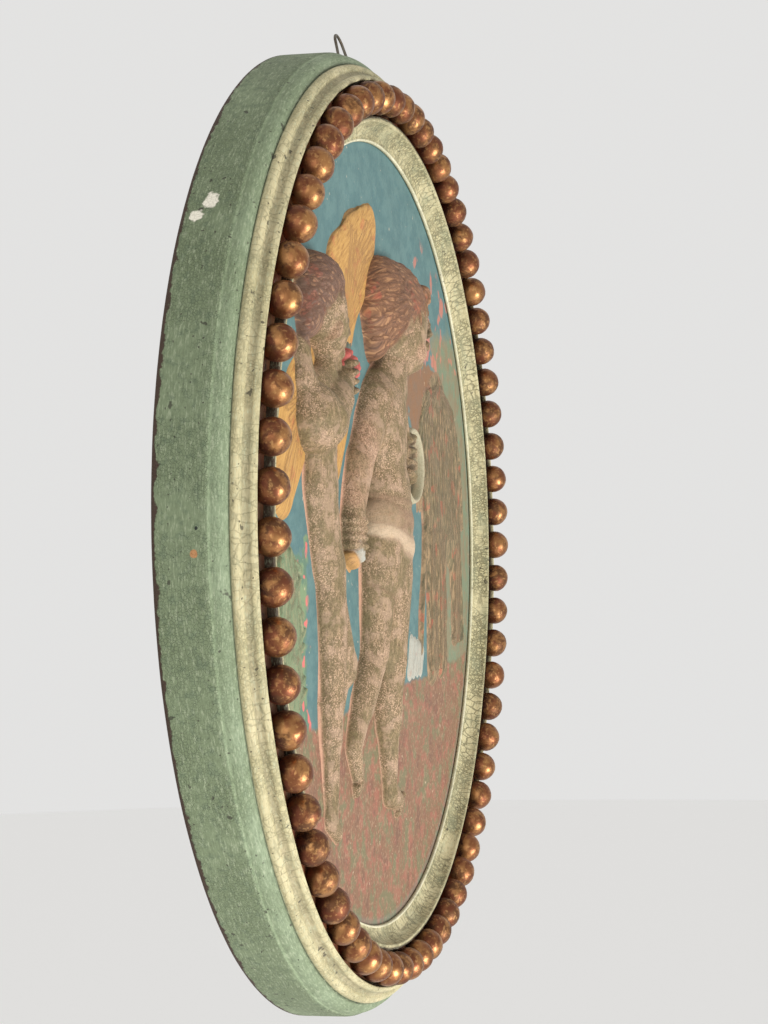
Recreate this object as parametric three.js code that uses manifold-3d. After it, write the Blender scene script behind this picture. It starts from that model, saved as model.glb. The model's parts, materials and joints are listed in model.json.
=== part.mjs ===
// A round wall plaque: a moulded ring frame with a row of beads, a cast relief of two winged
// children set inside it, and a bent wire loop at the top to hang it by.
// Millimetres, +Z up. The origin is the centre of the back, which lies on the wall (y = 0).
// The relief faces -Y, and a height above the wall is written as a positive number.
import * as THREE from 'three';
import { ConvexGeometry } from 'three/addons/geometries/ConvexGeometry.js';
import { mergeVertices } from 'three/addons/utils/BufferGeometryUtils.js';
import Module from 'manifold-3d';

const wasm = await Module();
wasm.setup();

// Gaps between pieces that touch
const seatGap = 0.3;

// Bead row
const beadRowRadius = 189.2;
const beadRadius = 7.2;
const beadCount = 67;
const firstBeadTurn = 0.88;
const stripWidth = 11;
const stripThickness = 2.6;
const beadSink = 0.6;
const beadSides = 7;
const beadBands = 3;

// Frame outside the beads: widths going outwards, and steps down towards the wall
const innerLipWidth = 1;
const troughSlope = 2;
const outerLipSlope = 2;
const ovoloStep = 2.2;
const ovoloWidth = 5.5;
const backFlare = 0.6;
const sideHeight = 20.4;
const ovoloRise = 6.4;
const ovoloStepRise = 2.9;
const outerLipRise = 1.5;
const troughRise = 3.3;
const beadCentreRise = 2.5;
const ovoloSwell = 0.3;

// Frame inside the beads: the cove, its crest and the lip that covers the panel's edge
const coveCrestWidth = 2.4;
const coveCrestRise = 1.4;
const coveWidth = 6.7;
const coveDrop = 7.5;
const coveHollow = 0.22;
const panelLipWidth = 1.2;
const panelLipThickness = 1.1;
const rebateWidth = 4.6;
const profileSteps = 2;
const frameSides = 56;

// Relief
const reliefDepth = 19;
const reliefRoot = 1;
const swellSides = 7;
const swellBands = 2;
const panelSides = 56;

// Hanging loop
const wireDiameter = 1.3;
const loopBend = 6;
const loopRise = 15.5;
const loopSplay = THREE.MathUtils.degToRad(19);
const loopLean = THREE.MathUtils.degToRad(15.5);
const loopSeatHeight = 13;
const loopHoleDepth = 9;
const wireSides = 8;
const wireSteps = 18;

// Radii from the centre, going outwards from the row of beads and then inwards from it
const grooveOuterRadius = beadRowRadius + beadRadius + seatGap;
const innerLipRadius = grooveOuterRadius + innerLipWidth;
const troughRadius = innerLipRadius + troughSlope;
const outerLipRadius = troughRadius + outerLipSlope;
const ovoloRadius = outerLipRadius + ovoloStep;
const sideRadius = ovoloRadius + ovoloWidth;
const backRadius = sideRadius + backFlare;
const grooveInnerRadius = beadRowRadius - beadRadius - seatGap;
const coveCrestRadius = grooveInnerRadius - coveCrestWidth;
const coveEndRadius = coveCrestRadius - coveWidth;
const panelOpeningRadius = coveEndRadius - panelLipWidth;
const rebateRadius = panelOpeningRadius + rebateWidth;
const panelRadius = rebateRadius - seatGap;

// Heights above the wall, going up from the side and then down to the panel
const ovoloHeight = sideHeight + ovoloRise;
const outerLipHeight = ovoloHeight + ovoloStepRise;
const troughHeight = outerLipHeight + outerLipRise;
const innerLipHeight = troughHeight + troughRise;
const beadCentreHeight = innerLipHeight + beadCentreRise;
const grooveFloorHeight = beadCentreHeight - beadRadius - seatGap;
const coveCrestHeight = innerLipHeight + coveCrestRise;
const panelLipHeight = coveCrestHeight - coveDrop;
const panelShoulderHeight = panelLipHeight - panelLipThickness;
const panelFaceHeight = panelShoulderHeight - seatGap;

// Geometry helpers

function closed(geometry) {
  const bare = geometry.clone();
  bare.deleteAttribute('normal');
  bare.deleteAttribute('uv');
  return mergeVertices(bare, 1e-4);
}

function solid(geometry) {
  const joined = closed(geometry);
  const vertProperties = new Float32Array(joined.attributes.position.array);
  const triVerts = new Uint32Array(joined.index.array);
  return new wasm.Manifold(new wasm.Mesh({ numProp: 3, vertProperties, triVerts }));
}

function toGeometry(manifold) {
  const mesh = manifold.getMesh();
  const geometry = new THREE.BufferGeometry();
  geometry.setAttribute('position', new THREE.BufferAttribute(mesh.vertProperties, 3));
  geometry.setIndex(new THREE.BufferAttribute(mesh.triVerts, 1));
  geometry.computeVertexNormals();
  return geometry;
}

function join(geometries) {
  return geometries.map(solid).reduce((whole, next) => whole.add(next));
}

// A point of a turned profile: the lathe turns about Y, and the front is towards -Y.
function at(radius, height) {
  return new THREE.Vector2(radius, -height);
}

// Turns a profile that runs out along the back, up the outside and in over the front.
function turned(profile, sides) {
  return new THREE.LatheGeometry([...profile].reverse(), sides);
}

// Points on a bend between two profile points, which leans to one side of their line.
function bendBetween(from, to, lean, steps) {
  const middle = from.clone().add(to).multiplyScalar(0.5);
  const across = new THREE.Vector2(to.y - from.y, from.x - to.x).multiplyScalar(lean);
  const curve = new THREE.QuadraticBezierCurve(from, middle.add(across), to);
  return curve.getPoints(steps).slice(1, -1);
}

// Frame

function frameGeometry() {
  const sideTop = at(sideRadius, sideHeight);
  const ovoloEnd = at(ovoloRadius, ovoloHeight);
  const crestInner = at(coveCrestRadius, coveCrestHeight);
  const lipOuter = at(coveEndRadius, panelLipHeight);
  const profile = [
    at(rebateRadius, 0),
    at(backRadius, 0),
    sideTop,
    ...bendBetween(sideTop, ovoloEnd, -ovoloSwell, profileSteps),
    ovoloEnd,
    at(outerLipRadius, outerLipHeight),
    at(troughRadius, troughHeight),
    at(innerLipRadius, innerLipHeight),
    at(grooveOuterRadius, innerLipHeight),
    at(grooveOuterRadius, grooveFloorHeight),
    at(grooveInnerRadius, grooveFloorHeight),
    at(grooveInnerRadius, coveCrestHeight),
    crestInner,
    ...bendBetween(crestInner, lipOuter, coveHollow, profileSteps),
    lipOuter,
    at(panelOpeningRadius, panelLipHeight),
    at(panelOpeningRadius, panelShoulderHeight),
    at(rebateRadius, panelShoulderHeight),
    at(rebateRadius, 0),
  ];
  return turned(profile, frameSides);
}

// Bead row: round beads on a narrow backing strip

function stripGeometry(innerRadius, outerRadius, low, high) {
  const profile = [
    at(innerRadius, low),
    at(outerRadius, low),
    at(outerRadius, high),
    at(innerRadius, high),
    at(innerRadius, low),
  ];
  return turned(profile, beadCount);
}

// A bead without the cap that the strip hides, with its pole to the front.
function beadGeometry(stripTop) {
  const cutHeight = stripTop - beadSink - beadCentreHeight;
  const lowest = Math.acos(cutHeight / beadRadius);
  const profile = [at(0, cutHeight)];
  for (let band = 0; band < beadBands; band += 1) {
    const angle = lowest * (1 - band / beadBands);
    profile.push(at(beadRadius * Math.sin(angle), beadRadius * Math.cos(angle)));
  }
  profile.push(at(0, beadRadius));
  return turned(profile, beadSides);
}

function beadRowGeometry() {
  const low = grooveFloorHeight + seatGap;
  const high = low + stripThickness;
  const halfWidth = stripWidth / 2;
  const strip = stripGeometry(beadRowRadius - halfWidth, beadRowRadius + halfWidth, low, high);
  const pieces = [strip];
  for (let index = 0; index < beadCount; index += 1) {
    const angle = ((index + firstBeadTurn) / beadCount) * Math.PI * 2;
    const bead = beadGeometry(high);
    bead.translate(-beadRowRadius * Math.cos(angle), -beadCentreHeight, beadRowRadius * Math.sin(angle));
    pieces.push(bead);
  }
  return toGeometry(join(pieces));
}

// Relief: every form is a swelling drawn between two rounds, with sides that run straight down
// into the ground, as a cast that leaves its mould needs.
// A round is [x, z, radius, top]: x, z and radius are shares of the panel's visible radius,
// and top is the share of the relief's depth that it stands above the ground.

function ringPoints([x, z, radius], widthShare, height) {
  const points = [];
  const reach = radius * widthShare * panelOpeningRadius;
  for (let side = 0; side < swellSides; side += 1) {
    const turn = (side / swellSides) * Math.PI * 2;
    points.push(new THREE.Vector3(
      x * panelOpeningRadius + reach * Math.cos(turn),
      -(panelFaceHeight + height),
      z * panelOpeningRadius + reach * Math.sin(turn),
    ));
  }
  return points;
}

function roundPoints(round, base) {
  const depth = (round[3] - base) * reliefDepth;
  const points = ringPoints(round, 1, -reliefRoot);
  const firstBand = base > 0 ? 0 : 1;
  for (let band = firstBand; band < swellBands; band += 1) {
    const rise = ((band / swellBands) * Math.PI) / 2;
    points.push(...ringPoints(round, Math.cos(rise), base * reliefDepth + depth * Math.sin(rise)));
  }
  const peak = ringPoints(round, 0, round[3] * reliefDepth)[0];
  return [...points, peak];
}

function swelling(from, to, base = 0) {
  return new ConvexGeometry([...roundPoints(from, base), ...roundPoints(to, base)]);
}

// The child on the left: head turned to the right, one arm bent up to hold roses.
function leftChildForms() {
  return [
    swelling([-0.652, 0.566, 0.084, 0.68], [-0.622, 0.568, 0.078, 0.74]),
    swelling([-0.676, 0.535, 0.07, 0.56], [-0.684, 0.49, 0.06, 0.46]),
    swelling([-0.612, 0.515, 0.084, 0.76], [-0.578, 0.468, 0.066, 0.72]),
    swelling([-0.56, 0.435, 0.05, 0.56], [-0.524, 0.395, 0.034, 0.42]),
    swelling([-0.525, 0.466, 0.014, 0.56], [-0.506, 0.44, 0.015, 0.5]),
    swelling([-0.56, 0.4, 0.04, 0.4], [-0.59, 0.31, 0.06, 0.48]),
    swelling([-0.61, 0.3, 0.085, 0.5], [-0.605, 0.11, 0.086, 0.42]),
    swelling([-0.605, 0.1, 0.086, 0.42], [-0.57, -0.06, 0.076, 0.44]),
    swelling([-0.55, -0.09, 0.074, 0.46], [-0.542, -0.3, 0.06, 0.42]),
    swelling([-0.548, -0.36, 0.052, 0.37], [-0.548, -0.64, 0.034, 0.22]),
    swelling([-0.553, -0.665, 0.033, 0.22], [-0.49, -0.71, 0.024, 0.15]),
    swelling([-0.53, -0.17, 0.056, 0.42], [-0.46, -0.31, 0.05, 0.44]),
    swelling([-0.47, -0.345, 0.038, 0.32], [-0.5, -0.47, 0.027, 0.16]),
    swelling([-0.705, 0.415, 0.036, 0.22], [-0.72, 0.34, 0.046, 0.36]),
    swelling([-0.72, 0.33, 0.048, 0.4], [-0.695, 0.265, 0.082, 0.75]),
    swelling([-0.68, 0.26, 0.086, 0.8], [-0.645, 0.25, 0.076, 0.84]),
    swelling([-0.64, 0.255, 0.074, 0.84], [-0.57, 0.305, 0.057, 0.77]),
    swelling([-0.57, 0.305, 0.055, 0.76], [-0.47, 0.365, 0.035, 0.6]),
  ];
}

// The child on the right: walking to the right in profile, one arm down with the end of a
// sash in the fist, the other hand on a tambourine.
function rightChildForms() {
  const fingers = [0, 1, 2, 3].map((index) => {
    const level = 0.243 - index * 0.031;
    return swelling([0.02, level, 0.015, 0.7], [0.1, level - 0.01, 0.013, 0.62], 0.3);
  });
  return [
    swelling([-0.055, 0.587, 0.132, 0.82], [0.06, 0.602, 0.114, 0.91]),
    swelling([-0.115, 0.54, 0.082, 0.61], [-0.118, 0.485, 0.055, 0.49]),
    swelling([0.085, 0.56, 0.115, 0.93], [0.07, 0.53, 0.115, 0.93]),
    swelling([0.005, 0.495, 0.09, 0.76], [0.07, 0.485, 0.085, 0.86]),
    swelling([0.06, 0.452, 0.055, 0.76], [0.125, 0.447, 0.034, 0.74]),
    swelling([0.188, 0.557, 0.014, 0.82], [0.212, 0.526, 0.016, 0.79], 0.3),
    swelling([0, 0.44, 0.076, 0.6], [-0.02, 0.37, 0.09, 0.64]),
    swelling([-0.075, 0.3, 0.127, 0.7], [-0.08, 0.22, 0.122, 0.72]),
    swelling([-0.07, 0.1, 0.132, 0.76], [-0.075, -0.02, 0.14, 0.8]),
    swelling([-0.14, -0.04, 0.097, 0.74], [-0.135, -0.11, 0.1, 0.72]),
    swelling([-0.065, -0.11, 0.125, 0.77], [-0.083, -0.31, 0.082, 0.67]),
    swelling([-0.088, -0.38, 0.067, 0.58], [-0.08, -0.46, 0.058, 0.52]),
    swelling([-0.08, -0.46, 0.052, 0.48], [-0.045, -0.64, 0.034, 0.3]),
    swelling([-0.03, -0.675, 0.036, 0.3], [0.07, -0.71, 0.026, 0.2]),
    swelling([-0.14, -0.1, 0.09, 0.62], [-0.19, -0.29, 0.067, 0.5]),
    swelling([-0.205, -0.33, 0.06, 0.46], [-0.29, -0.425, 0.05, 0.38]),
    swelling([-0.29, -0.425, 0.05, 0.38], [-0.35, -0.5, 0.04, 0.3]),
    swelling([-0.365, -0.52, 0.036, 0.28], [-0.312, -0.615, 0.028, 0.2]),
    swelling([-0.15, 0.325, 0.066, 0.6], [-0.21, 0.25, 0.064, 0.5]),
    swelling([-0.21, 0.25, 0.064, 0.5], [-0.295, 0.165, 0.056, 0.46]),
    swelling([-0.3, 0.155, 0.058, 0.47], [-0.345, 0.06, 0.046, 0.42]),
    swelling([-0.357, 0.035, 0.047, 0.44], [-0.357, -0.02, 0.047, 0.42]),
    swelling([0, 0.31, 0.045, 0.6], [0.03, 0.22, 0.04, 0.6]),
    swelling([0.115, 0.175, 0.104, 0.46], [0.115, 0.172, 0.104, 0.46]),
    ...fingers,
    swelling([-0.165, 0.045, 0.05, 0.6], [-0.08, 0.03, 0.07, 0.84], 0.1),
    swelling([-0.08, 0.03, 0.07, 0.84], [0, 0.02, 0.062, 0.82], 0.1),
    swelling([-0.375, -0.05, 0.026, 0.4], [-0.31, -0.075, 0.034, 0.34], 0.1),
  ];
}

// Wings, roses, the tree with its stems, the staff, a white cloth and a low bush.
function settingForms() {
  const roses = [0, 1, 2, 3].map((index) => {
    const x = -0.475 + index * 0.043;
    const z = 0.385 + 0.02 * Math.cos(index * 2.4);
    return swelling([x, z, 0.032, 0.58 - index * 0.07], [x + 0.01, z, 0.03, 0.56 - index * 0.07]);
  });
  return [
    swelling([-0.33, 0.51, 0.08, 0.1], [-0.3, 0.6, 0.1, 0.11]),
    swelling([-0.37, 0.63, 0.1, 0.1], [-0.2, 0.72, 0.105, 0.11]),
    swelling([-0.24, 0.7, 0.09, 0.11], [-0.115, 0.78, 0.05, 0.08]),
    swelling([-0.66, 0.37, 0.07, 0.1], [-0.74, 0.31, 0.07, 0.1]),
    swelling([-0.76, 0.24, 0.11, 0.1], [-0.84, 0.11, 0.075, 0.09]),
    swelling([-0.36, 0.285, 0.045, 0.09], [-0.46, 0.17, 0.06, 0.09]),
    ...roses,
    swelling([0.48, 0.33, 0.07, 0.09], [0.5, 0.05, 0.09, 0.15]),
    swelling([0.6, 0.36, 0.1, 0.08], [0.6, 0.02, 0.12, 0.15]),
    swelling([0.73, 0.28, 0.1, 0.08], [0.74, 0, 0.11, 0.15]),
    swelling([0.47, -0.02, 0.045, 0.15], [0.49, -0.38, 0.05, 0.13]),
    swelling([0.58, -0.04, 0.06, 0.15], [0.59, -0.37, 0.05, 0.13]),
    swelling([0.77, -0.06, 0.055, 0.14], [0.775, -0.31, 0.036, 0.12]),
    swelling([0.43, 0.04, 0.011, 0.12], [0.345, -0.33, 0.01, 0.1]),
    swelling([0.36, -0.33, 0.03, 0.07], [0.25, -0.36, 0.04, 0.07]),
    swelling([-0.83, -0.1, 0.07, 0.1], [-0.81, -0.34, 0.08, 0.1]),
  ];
}

function panelGeometry() {
  const profile = [at(0, 0), at(panelRadius, 0), at(panelRadius, panelFaceHeight), at(0, panelFaceHeight)];
  const disc = turned(profile, panelSides);
  return toGeometry(join([disc, ...settingForms(), ...leftChildForms(), ...rightChildForms()]));
}

// Hanging loop: one bent wire, its ends set in two holes in the top of the frame

class LoopCurve extends THREE.Curve {
  constructor(extraDepth) {
    super();
    this.halfTurn = Math.PI / 2 - loopSplay;
    this.apexRise = loopRise - wireDiameter / 2;
    const bendDrop = loopBend * (1 - Math.cos(this.halfTurn));
    this.legLength = (this.apexRise - bendDrop + loopHoleDepth + extraDepth) / Math.cos(loopSplay);
    this.bendLength = 2 * this.halfTurn * loopBend;
    this.wholeLength = 2 * this.legLength + this.bendLength;
  }

  // Distance across and above the frame's rim, with the wire drawn flat.
  flatPoint(distance) {
    const fromApex = distance - this.wholeLength / 2;
    const side = Math.sign(fromApex);
    const along = Math.abs(fromApex);
    const turned = Math.min(along / loopBend, this.halfTurn);
    const leg = Math.max(along - this.bendLength / 2, 0);
    const across = loopBend * Math.sin(turned) + leg * Math.sin(loopSplay);
    const drop = loopBend * (1 - Math.cos(turned)) + leg * Math.cos(loopSplay);
    return [side * across, this.apexRise - drop];
  }

  getPoint(share, target = new THREE.Vector3()) {
    const [across, rise] = this.flatPoint(share * this.wholeLength);
    return target.set(
      across,
      -loopSeatHeight + rise * Math.sin(loopLean),
      sideRadius + rise * Math.cos(loopLean),
    );
  }
}

function wireGeometry(diameter, extraDepth) {
  const section = new THREE.Shape();
  section.absarc(0, 0, diameter / 2, 0, Math.PI * 2);
  return new THREE.ExtrudeGeometry(section, {
    curveSegments: wireSides / 2,
    steps: wireSteps,
    extrudePath: new LoopCurve(extraDepth),
  });
}

// The object

function part(name, geometry, colour, roughness, metalness) {
  const material = new THREE.MeshStandardMaterial({ color: colour, roughness, metalness });
  const mesh = new THREE.Mesh(geometry, material);
  mesh.name = name;
  return mesh;
}

const holes = solid(wireGeometry(wireDiameter + 2 * seatGap, seatGap));
const frame = toGeometry(solid(frameGeometry()).subtract(holes));

const group = new THREE.Group();
group.add(part('frame', frame, 0x8fa588, 0.7, 0));
group.add(part('bead_row', beadRowGeometry(), 0x84573a, 0.4, 0.6));
group.add(part('relief_panel', panelGeometry(), 0x9b8468, 0.75, 0));
group.add(part('hanging_loop', closed(wireGeometry(wireDiameter, 0)), 0x6d6a60, 0.45, 0.9));

export default group;
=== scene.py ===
"""A painted round wall plaque: moulded ring, bronze beads and a cast relief of two winged children.

Everything is in metres in the frame of the solids: +Z up, the wall at y = 0, the relief facing -Y.
"""

import json
import math
from collections import namedtuple

import bpy
import numpy as np
from bpy.props import FloatProperty, FloatVectorProperty, IntProperty, PointerProperty
from mathutils import Matrix, Vector

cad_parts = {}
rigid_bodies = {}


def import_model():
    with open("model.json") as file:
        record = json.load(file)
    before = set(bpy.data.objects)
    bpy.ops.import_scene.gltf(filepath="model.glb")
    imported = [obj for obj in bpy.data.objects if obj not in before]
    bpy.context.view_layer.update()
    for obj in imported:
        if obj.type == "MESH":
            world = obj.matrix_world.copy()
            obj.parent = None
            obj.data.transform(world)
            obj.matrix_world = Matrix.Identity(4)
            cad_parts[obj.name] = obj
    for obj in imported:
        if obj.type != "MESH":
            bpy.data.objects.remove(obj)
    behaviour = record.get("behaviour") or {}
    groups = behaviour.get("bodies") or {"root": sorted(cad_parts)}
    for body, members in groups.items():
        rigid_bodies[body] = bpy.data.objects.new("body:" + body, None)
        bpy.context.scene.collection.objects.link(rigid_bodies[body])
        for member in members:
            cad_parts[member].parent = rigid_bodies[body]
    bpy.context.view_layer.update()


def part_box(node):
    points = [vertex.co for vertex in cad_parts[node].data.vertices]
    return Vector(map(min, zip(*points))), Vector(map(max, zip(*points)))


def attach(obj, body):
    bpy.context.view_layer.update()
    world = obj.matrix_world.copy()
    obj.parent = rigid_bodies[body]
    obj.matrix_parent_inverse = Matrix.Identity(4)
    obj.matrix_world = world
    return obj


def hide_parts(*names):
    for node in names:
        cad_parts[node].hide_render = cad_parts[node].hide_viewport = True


bl_info = {
    "name": "Cherub wall plaque",
    "version": (1, 0, 0),
    "blender": (4, 5, 0),
    "location": "3D View > Sidebar > Plaque",
    "description": "Builds a round beaded plaque with a painted relief of two winged children",
    "category": "Add Mesh",
}

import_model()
panel_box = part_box("relief_panel")
frame_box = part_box("frame")


def tint(red, green, blue):
    """A colour given as screen values from 0 to 255, as the light values that shaders use."""
    shares = (red / 255, green / 255, blue / 255)
    return tuple(s / 12.92 if s <= 0.04045 else ((s + 0.055) / 1.055) ** 2.4 for s in shares)


def length(name, description, default, low=0.0):
    """A size in metres for a settings group."""
    return FloatProperty(
        name=name, description=description, default=default, min=low, unit="LENGTH", precision=5
    )


def colour(name, description, default):
    """A colour for a settings group."""
    return FloatVectorProperty(
        name=name, description=description, default=default, subtype="COLOR", size=3, min=0.0, max=1.0
    )


class PlaqueFrameSettings(bpy.types.PropertyGroup):
    back_radius: length("Back radius", "Radius of the frame at the wall", frame_box[1].x)
    side_height: length("Side height", "Height of the straight outer side", 0.0204)
    groove_outer: length("Groove outer radius", "Outer wall of the groove for the beads", 0.1967)
    groove_inner: length("Groove inner radius", "Inner wall of the groove for the beads", 0.1817)
    opening_radius: length("Opening radius", "Radius of the opening that shows the relief", 0.1714)
    segments: IntProperty(name="Segments", description="Steps around the ring", default=448, min=64)
    waver: length("Waver", "How far the hand-worked surface strays", 0.00022)
    side_green: colour("Side green", "Paint on the outer side", tint(116, 129, 98))
    band_green: colour("Band green", "Paint on the rounded band", tint(126, 140, 110))
    cream: colour("Cream", "Paint on the lips and the cove", tint(194, 182, 142))
    # Painted shade: darker cream in the trough between the lips and under the inner lip.
    trough_shade_cream: colour("Trough cream", "Dirtier paint between the lips", tint(166, 154, 120))


class PlaqueBeadSettings(bpy.types.PropertyGroup):
    count: IntProperty(name="Beads", description="Number of beads in the row", default=67, min=3)
    row_radius: length("Row radius", "Radius of the circle through the beads' centres", 0.1892)
    bead_radius: length("Bead radius", "Radius of one bead", 0.0072)
    centre_height: length("Centre height", "Height of the beads' centres above the wall", 0.037)
    bronze: colour("Bronze", "Rubbed bronze paint", tint(158, 112, 68))
    # Dark bronze for the random patches, and as painted shade on the beads' lower parts in the groove.
    patch_and_shade_bronze: colour("Dark bronze", "Bronze paint in the hollows", tint(66, 38, 28))


class PlaqueReliefSettings(bpy.types.PropertyGroup):
    visible_radius: length("Visible radius", "Radius of the relief inside the lip", 0.1714)
    edge_radius: length("Edge radius", "Radius of the panel under the lip", panel_box[1].x)
    face_height: length("Face height", "Height of the relief's ground above the wall", 0.027)
    depth: length("Relief depth", "Height of the boldest form above the ground", 0.019)
    cell: length("Cell", "Size of the cells that the forms are carved with", 0.0008, 0.0004)
    sky: colour("Sky", "Blue of the painted sky", tint(76, 108, 108))
    earth: colour("Earth", "Red-brown of the painted earth", tint(126, 92, 68))
    foliage: colour("Foliage", "Grey-green of the painted foliage", tint(112, 124, 98))


class PlaqueLoopSettings(bpy.types.PropertyGroup):
    wire_diameter: length("Wire diameter", "Thickness of the wire", 0.0013)
    bend: length("Bend radius", "Radius of the loop's top", 0.006)
    rise: length("Rise", "How far the loop stands above the rim", 0.0155)
    seat_height: length("Seat height", "Height of the holes above the wall", 0.013)
    metal: colour("Metal", "Dull wire", tint(112, 106, 96))


class PlaqueStageSettings(bpy.types.PropertyGroup):
    floor_depth: length("Floor depth", "How far the floor lies below the plaque's centre", 1.3)
    key_power: FloatProperty(
        name="Key power", description="Power of the key light", default=30, min=0, unit="POWER"
    )
    surround: colour("Surround", "Colour of the floor and the surroundings", (0.96, 0.955, 0.945))


# Shaders


class Shade:
    """A number in a material's nodes, with the arithmetic that patterns are written in."""

    def __init__(self, finish, socket):
        self.finish = finish
        self.socket = socket

    def __add__(self, other):
        return self.finish.maths("ADD", self, other)

    def __sub__(self, other):
        return self.finish.maths("SUBTRACT", self, other)

    def __rsub__(self, other):
        return self.finish.maths("SUBTRACT", other, self)

    def __mul__(self, other):
        return self.finish.maths("MULTIPLY", self, other)

    __radd__ = __add__
    __rmul__ = __mul__


class Finish:
    """One material, built up node by node."""

    def __init__(self, name, roughness=0.7, metallic=0.0):
        self.material = bpy.data.materials.new(name)
        self.material.use_nodes = True
        self.tree = self.material.node_tree
        self.surface = self.tree.nodes["Principled BSDF"]
        self.surface.inputs["Roughness"].default_value = roughness
        self.surface.inputs["Metallic"].default_value = metallic

    def node(self, kind, sockets=None, out=0, **settings):
        """Adds a node, with its settings and the values or links of its sockets."""
        node = self.tree.nodes.new(kind)
        for name, value in settings.items():
            setattr(node, name, value)
        for key, value in (sockets or {}).items():
            if isinstance(value, Shade):
                self.tree.links.new(value.socket, node.inputs[key])
            elif isinstance(value, tuple) and len(value) == 3 and node.inputs[key].type == "RGBA":
                node.inputs[key].default_value = (*value, 1.0)
            else:
                node.inputs[key].default_value = value
        return Shade(self, node.outputs[out])

    def maths(self, operation, *values):
        return self.node("ShaderNodeMath", dict(enumerate(values)), operation=operation)

    def step(self, value, low, high):
        """0 below low, 1 above high and smooth between them."""
        sockets = {"Value": value, "From Min": low, "From Max": high}
        return self.node("ShaderNodeMapRange", sockets, interpolation_type="SMOOTHSTEP")

    def mix(self, share, first, second, blend="MIX"):
        sockets = {0: share, 6: first, 7: second}
        return self.node("ShaderNodeMix", sockets, out=2, data_type="RGBA", blend_type=blend)

    def place(self):
        return self.node("ShaderNodeTexCoord", out="Object")

    def painted(self, name, out="Color"):
        return self.node("ShaderNodeAttribute", out=out, attribute_name=name)

    def parts(self, vector):
        split = self.node("ShaderNodeSeparateXYZ", {0: vector})
        return [Shade(self, socket) for socket in split.socket.node.outputs]

    def scaled(self, vector, shares):
        return self.node("ShaderNodeVectorMath", {0: vector, 1: shares}, operation="MULTIPLY")

    def noise(self, vector, scale, detail=2.0, roughness=0.5, distortion=0.0):
        sockets = {
            "Vector": vector,
            "Scale": scale,
            "Detail": detail,
            "Roughness": roughness,
            "Distortion": distortion,
        }
        return self.node("ShaderNodeTexNoise", sockets)

    def cracks(self, vector, scale):
        """Distance from the nearest crack of a craquelure, in cells."""
        sockets = {"Vector": vector, "Scale": scale}
        return self.node("ShaderNodeTexVoronoi", sockets, feature="DISTANCE_TO_EDGE")

    def shaken(self, vector, scale, amount):
        """A vector that strays by a noise, so that a pattern on it isn't regular."""
        sockets = {"Vector": vector, "Scale": scale, "Detail": 3.0}
        stray = self.node("ShaderNodeTexNoise", sockets, out="Color")
        centred = self.node("ShaderNodeVectorMath", {0: stray, 1: (0.5, 0.5, 0.5)}, operation="SUBTRACT")
        scaled = self.node("ShaderNodeVectorMath", {0: centred, "Scale": amount}, operation="SCALE")
        return self.node("ShaderNodeVectorMath", {0: vector, 1: scaled}, operation="ADD")

    def near(self, vector, centre, reach, ragged):
        """1 within reach of a point and 0 outside it, with a ragged edge."""
        sockets = {0: vector, 1: centre}
        distance = self.node("ShaderNodeVectorMath", sockets, out="Value", operation="DISTANCE")
        return 1 - self.step(distance + ragged * reach, reach * 1.25, reach * 1.45)

    def lay(self, base, roughness, height, distance, strength):
        """Sets what changes over the surface."""
        sockets = {"Height": height, "Distance": distance, "Strength": strength}
        bump = self.node("ShaderNodeBump", sockets)
        for name, value in (("Base Color", base), ("Roughness", roughness), ("Normal", bump)):
            self.tree.links.new(value.socket, self.surface.inputs[name])
        return self.material


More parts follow.
